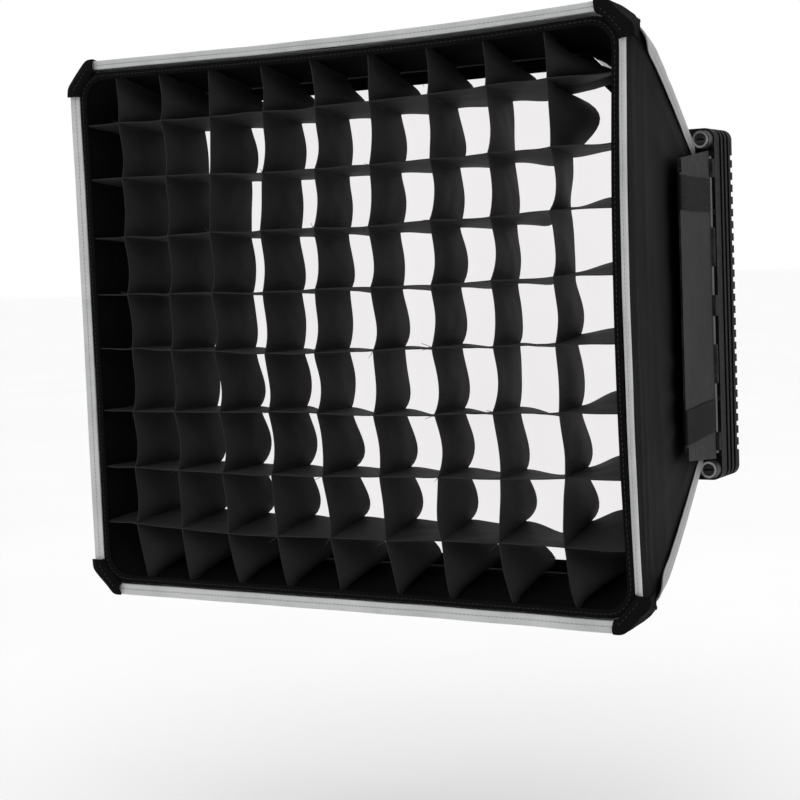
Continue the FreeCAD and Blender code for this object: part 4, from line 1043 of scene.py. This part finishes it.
def placed(side, P):
    A = np.array(PLACE[side])
    return P @ A[:3, :3].T + A[:3, 3]


for side in ("right", "left", "top", "bottom"):
    st = 84.0 if side in ("right", "left") else 100.0
    parts, lines = [], []
    rr = ripple(500 + len(side) * 3, 6, 1.0, 4.0)
    for s in (1, -1):
        path = [(1.5, -9.0), (1.45, -14.0), (1.42, -30.0), (1.55, -55.0), (1.42, -80.0), (1.42, -102.0), (1.4, -107.6), (1.15, -108.7),
                (0.6, -109.25), (0.0, -109.4), (-0.6, -109.25), (-1.15, -108.7), (-1.4, -107.6), (-1.42, -92.0), (-1.45, -70.0), (-1.42, -55.5)]
        path = np.array(path)
        d = np.concatenate([[0], np.cumsum(np.linalg.norm(np.diff(path, axis=0), axis=1))])
        t = np.unique(np.concatenate([np.linspace(0, d[-1], 60), d]))
        px, py = np.interp(t, d, path[:, 0]), np.interp(t, d, path[:, 1])
        w = np.linspace(-12.4, 12.4, 14)
        P = np.zeros((len(t), len(w), 3))
        for j, b in enumerate(w):
            wob = 0.12 * rr(t / 25.0, b / 9.0 + s)
            P[:, j, 0] = px + np.where(py > -106, np.sign(px) * np.abs(wob), 0)
            P[:, j, 1] = py
            P[:, j, 2] = st * s + b + 0.25 * np.sin(t / 14.0 + s) * (1 if side != "top" else 0.6)
        P = placed(side, P)
        n = normals(P)
        out = placed(side, np.array([[1.0, 0, 0]]))[0] - placed(side, np.array([[0.0, 0, 0]]))[0]
        if n[10, 6] @ out < 0:
            P = P[:, ::-1]
            n = normals(P)
        parts.append(cloth(P, 1.05))
        # a sewn box with a cross near the rear end, and two rows near the front
        q0, q1, z0, z1 = -14.0, -30.0, st * s - 9.5, st * s + 9.5
        for a, b in (((q0, z0), (q1, z0)), ((q1, z0), (q1, z1)), ((q1, z1), (q0, z1)), ((q0, z1), (q0, z0)),
                     ((q0, z0), (q1, z1)), ((q0, z1), (q1, z0)), ((-99.0, z0), (-99.0, z1)), ((-102.5, z0), (-102.5, z1))):
            seg = np.array([(2.05, a[0] + (b[0] - a[0]) * k / 8, a[1] + (b[1] - a[1]) * k / 8) for k in range(9)])
            lines.append((placed(side, seg), out))
    body = "leaf_%s_body" % side
    ob = piece("leaf_straps_" + side, join(parts), "webbing", body, ("straps_" + side,), 60)
    piece("leaf_strap_stitches_" + side, stitches(lines, 2.0, 3.0, 0.25, 23), "thread", body)

# ------------------------------------------------------------------ foam seat
s_out = outline(179.3, 128.3, 21.0, cut=True)
s_in = outline(158.2, 107.2, 1.5)
O = sample(s_out, 360)
ang = np.arctan2(O[:, 1] / 128.3, O[:, 0] / 179.3)
I = np.stack([np.clip(158.2 * np.cos(ang) * 1.6, -158.2, 158.2), np.clip(107.2 * np.sin(ang) * 1.6, -107.2, 107.2)], -1)
sec = [(0.0, 0.5), (0.02, 0.12), (0.08, 0.0), (0.35, 0.03), (0.65, 0.03), (0.92, 0.0), (0.98, 0.12), (1.0, 0.5),
       (0.98, 0.88), (0.92, 1.0), (0.65, 0.96), (0.35, 0.96), (0.08, 1.0), (0.02, 0.88)]
S = np.zeros((360, len(sec), 3))
for j, (a, b) in enumerate(sec):
    p = I + (O - I) * a
    S[:, j, 0], S[:, j, 1], S[:, j, 2] = p[:, 0], -1.48 + 1.46 * b, p[:, 1]
v_, f_ = loft(S, True)
ob = piece("foam_seat", (v_, [tuple(reversed(q)) for q in f_]), "foam", "root", ("seat_pad",), 50)

# ------------------------------------------------------------------ finishes of the carried-over parts
def finish_node(name, mat):
    o = CAD[name]
    o.data.materials.clear()
    o.data.materials.append(M[mat])


for n in CAD:
    if n.startswith("leaf_"):
        finish_node(n, "leaf")
    elif n.startswith("latch_knob") or n.startswith("latch_dog"):
        finish_node(n, "plastic")
    elif n.startswith("latch_ring") or n.startswith("latch_shaft"):
        finish_node(n, "bright")
    elif n.startswith("hinge_pin"):
        finish_node(n, "screw")
    elif n in ("adapter_plate", "adapter_ring", "hinge_lugs"):
        finish_node(n, "adapter")
    elif n == "adapter_screws":
        finish_node(n, "screw")
    elif n == "spring_rods":
        finish_node(n, "rod")
    elif n == "rod_tip_caps":
        finish_node(n, "cap")
    elif n == "rod_sockets":
        finish_node(n, "adapter")

# ------------------------------------------------------------------ stage, light and camera
floor_z = -0.42
rings = [(0.0, 1)]
verts, faces = [(0, 0, floor_z)], []
for k, rad in enumerate((1.0, 2.5, 6.0, 15.0, 40.0)):
    for a in range(48):
        th = a * 2 * PI / 48
        verts.append((rad * math.cos(th), rad * math.sin(th), floor_z))
for a in range(48):
    b = (a + 1) % 48
    faces.append((0, 1 + a, 1 + b))
    for k in range(4):
        faces.append((1 + k * 48 + a, 1 + (k + 1) * 48 + a, 1 + (k + 1) * 48 + b, 1 + k * 48 + b))
fm = Nodes("pale_floor")
fn = fm.noise(3.0, 4.0)
fm.done(fm.ramp(fn, [(0.3, 0.945), (0.7, 0.965)]), fm.span(fn, 0.3, 0.7, 0.55, 0.7), fm.bump(fm.noise(60.0, 3.0), 0.05, 0.001), Specular_IOR_Level=0.2)
floor = make("floor", np.array(verts) / MM, faces, fm.mat, False)

world = bpy.data.worlds.new("studio")
bpy.context.scene.world = world
world.use_nodes = True
bg = world.node_tree.nodes["Background"]
bg.inputs[0].default_value = (1.0, 1.0, 1.0, 1.0)
bg.inputs[1].default_value = 1.0


def area(name, loc, target, size, power, color=(1, 1, 1)):
    li = bpy.data.lights.new(name, "AREA")
    li.shape = "RECTANGLE"
    li.size, li.size_y = size
    li.energy = power
    li.color = color
    ob = bpy.data.objects.new(name, li)
    bpy.context.scene.collection.objects.link(ob)
    ob.location = loc
    ob.rotation_mode = "QUATERNION"
    ob.rotation_quaternion = (Vector(target) - Vector(loc)).to_track_quat("-Z", "Y")
    return ob


area("key", (0.5, -1.7, 2.0), (0, -0.15, 0), (1.6, 1.2), 7.0)
area("side", (2.0, -0.4, 0.9), (0.1, -0.1, 0), (1.2, 1.2), 2.0)

cam = bpy.data.cameras.new("camera")
cam.sensor_width = 36.0
cam.lens = 78.45
cam.clip_start, cam.clip_end = 0.05, 200.0
co = bpy.data.objects.new("camera", cam)
bpy.context.scene.collection.objects.link(co)
right, up, back = (0.859246, 0.510035, -0.039497), (-0.005823, 0.086955, 0.996195), (0.511529, -0.855747, 0.077685)
m = Matrix(((right[0], up[0], back[0], 0.66405), (right[1], up[1], back[1], -1.28693),
            (right[2], up[2], back[2], 0.04128), (0, 0, 0, 1)))
co.matrix_world = m
bpy.context.scene.camera = co
bpy.context.scene.view_settings.view_transform = "Standard"

bpy.context.view_layer.update()
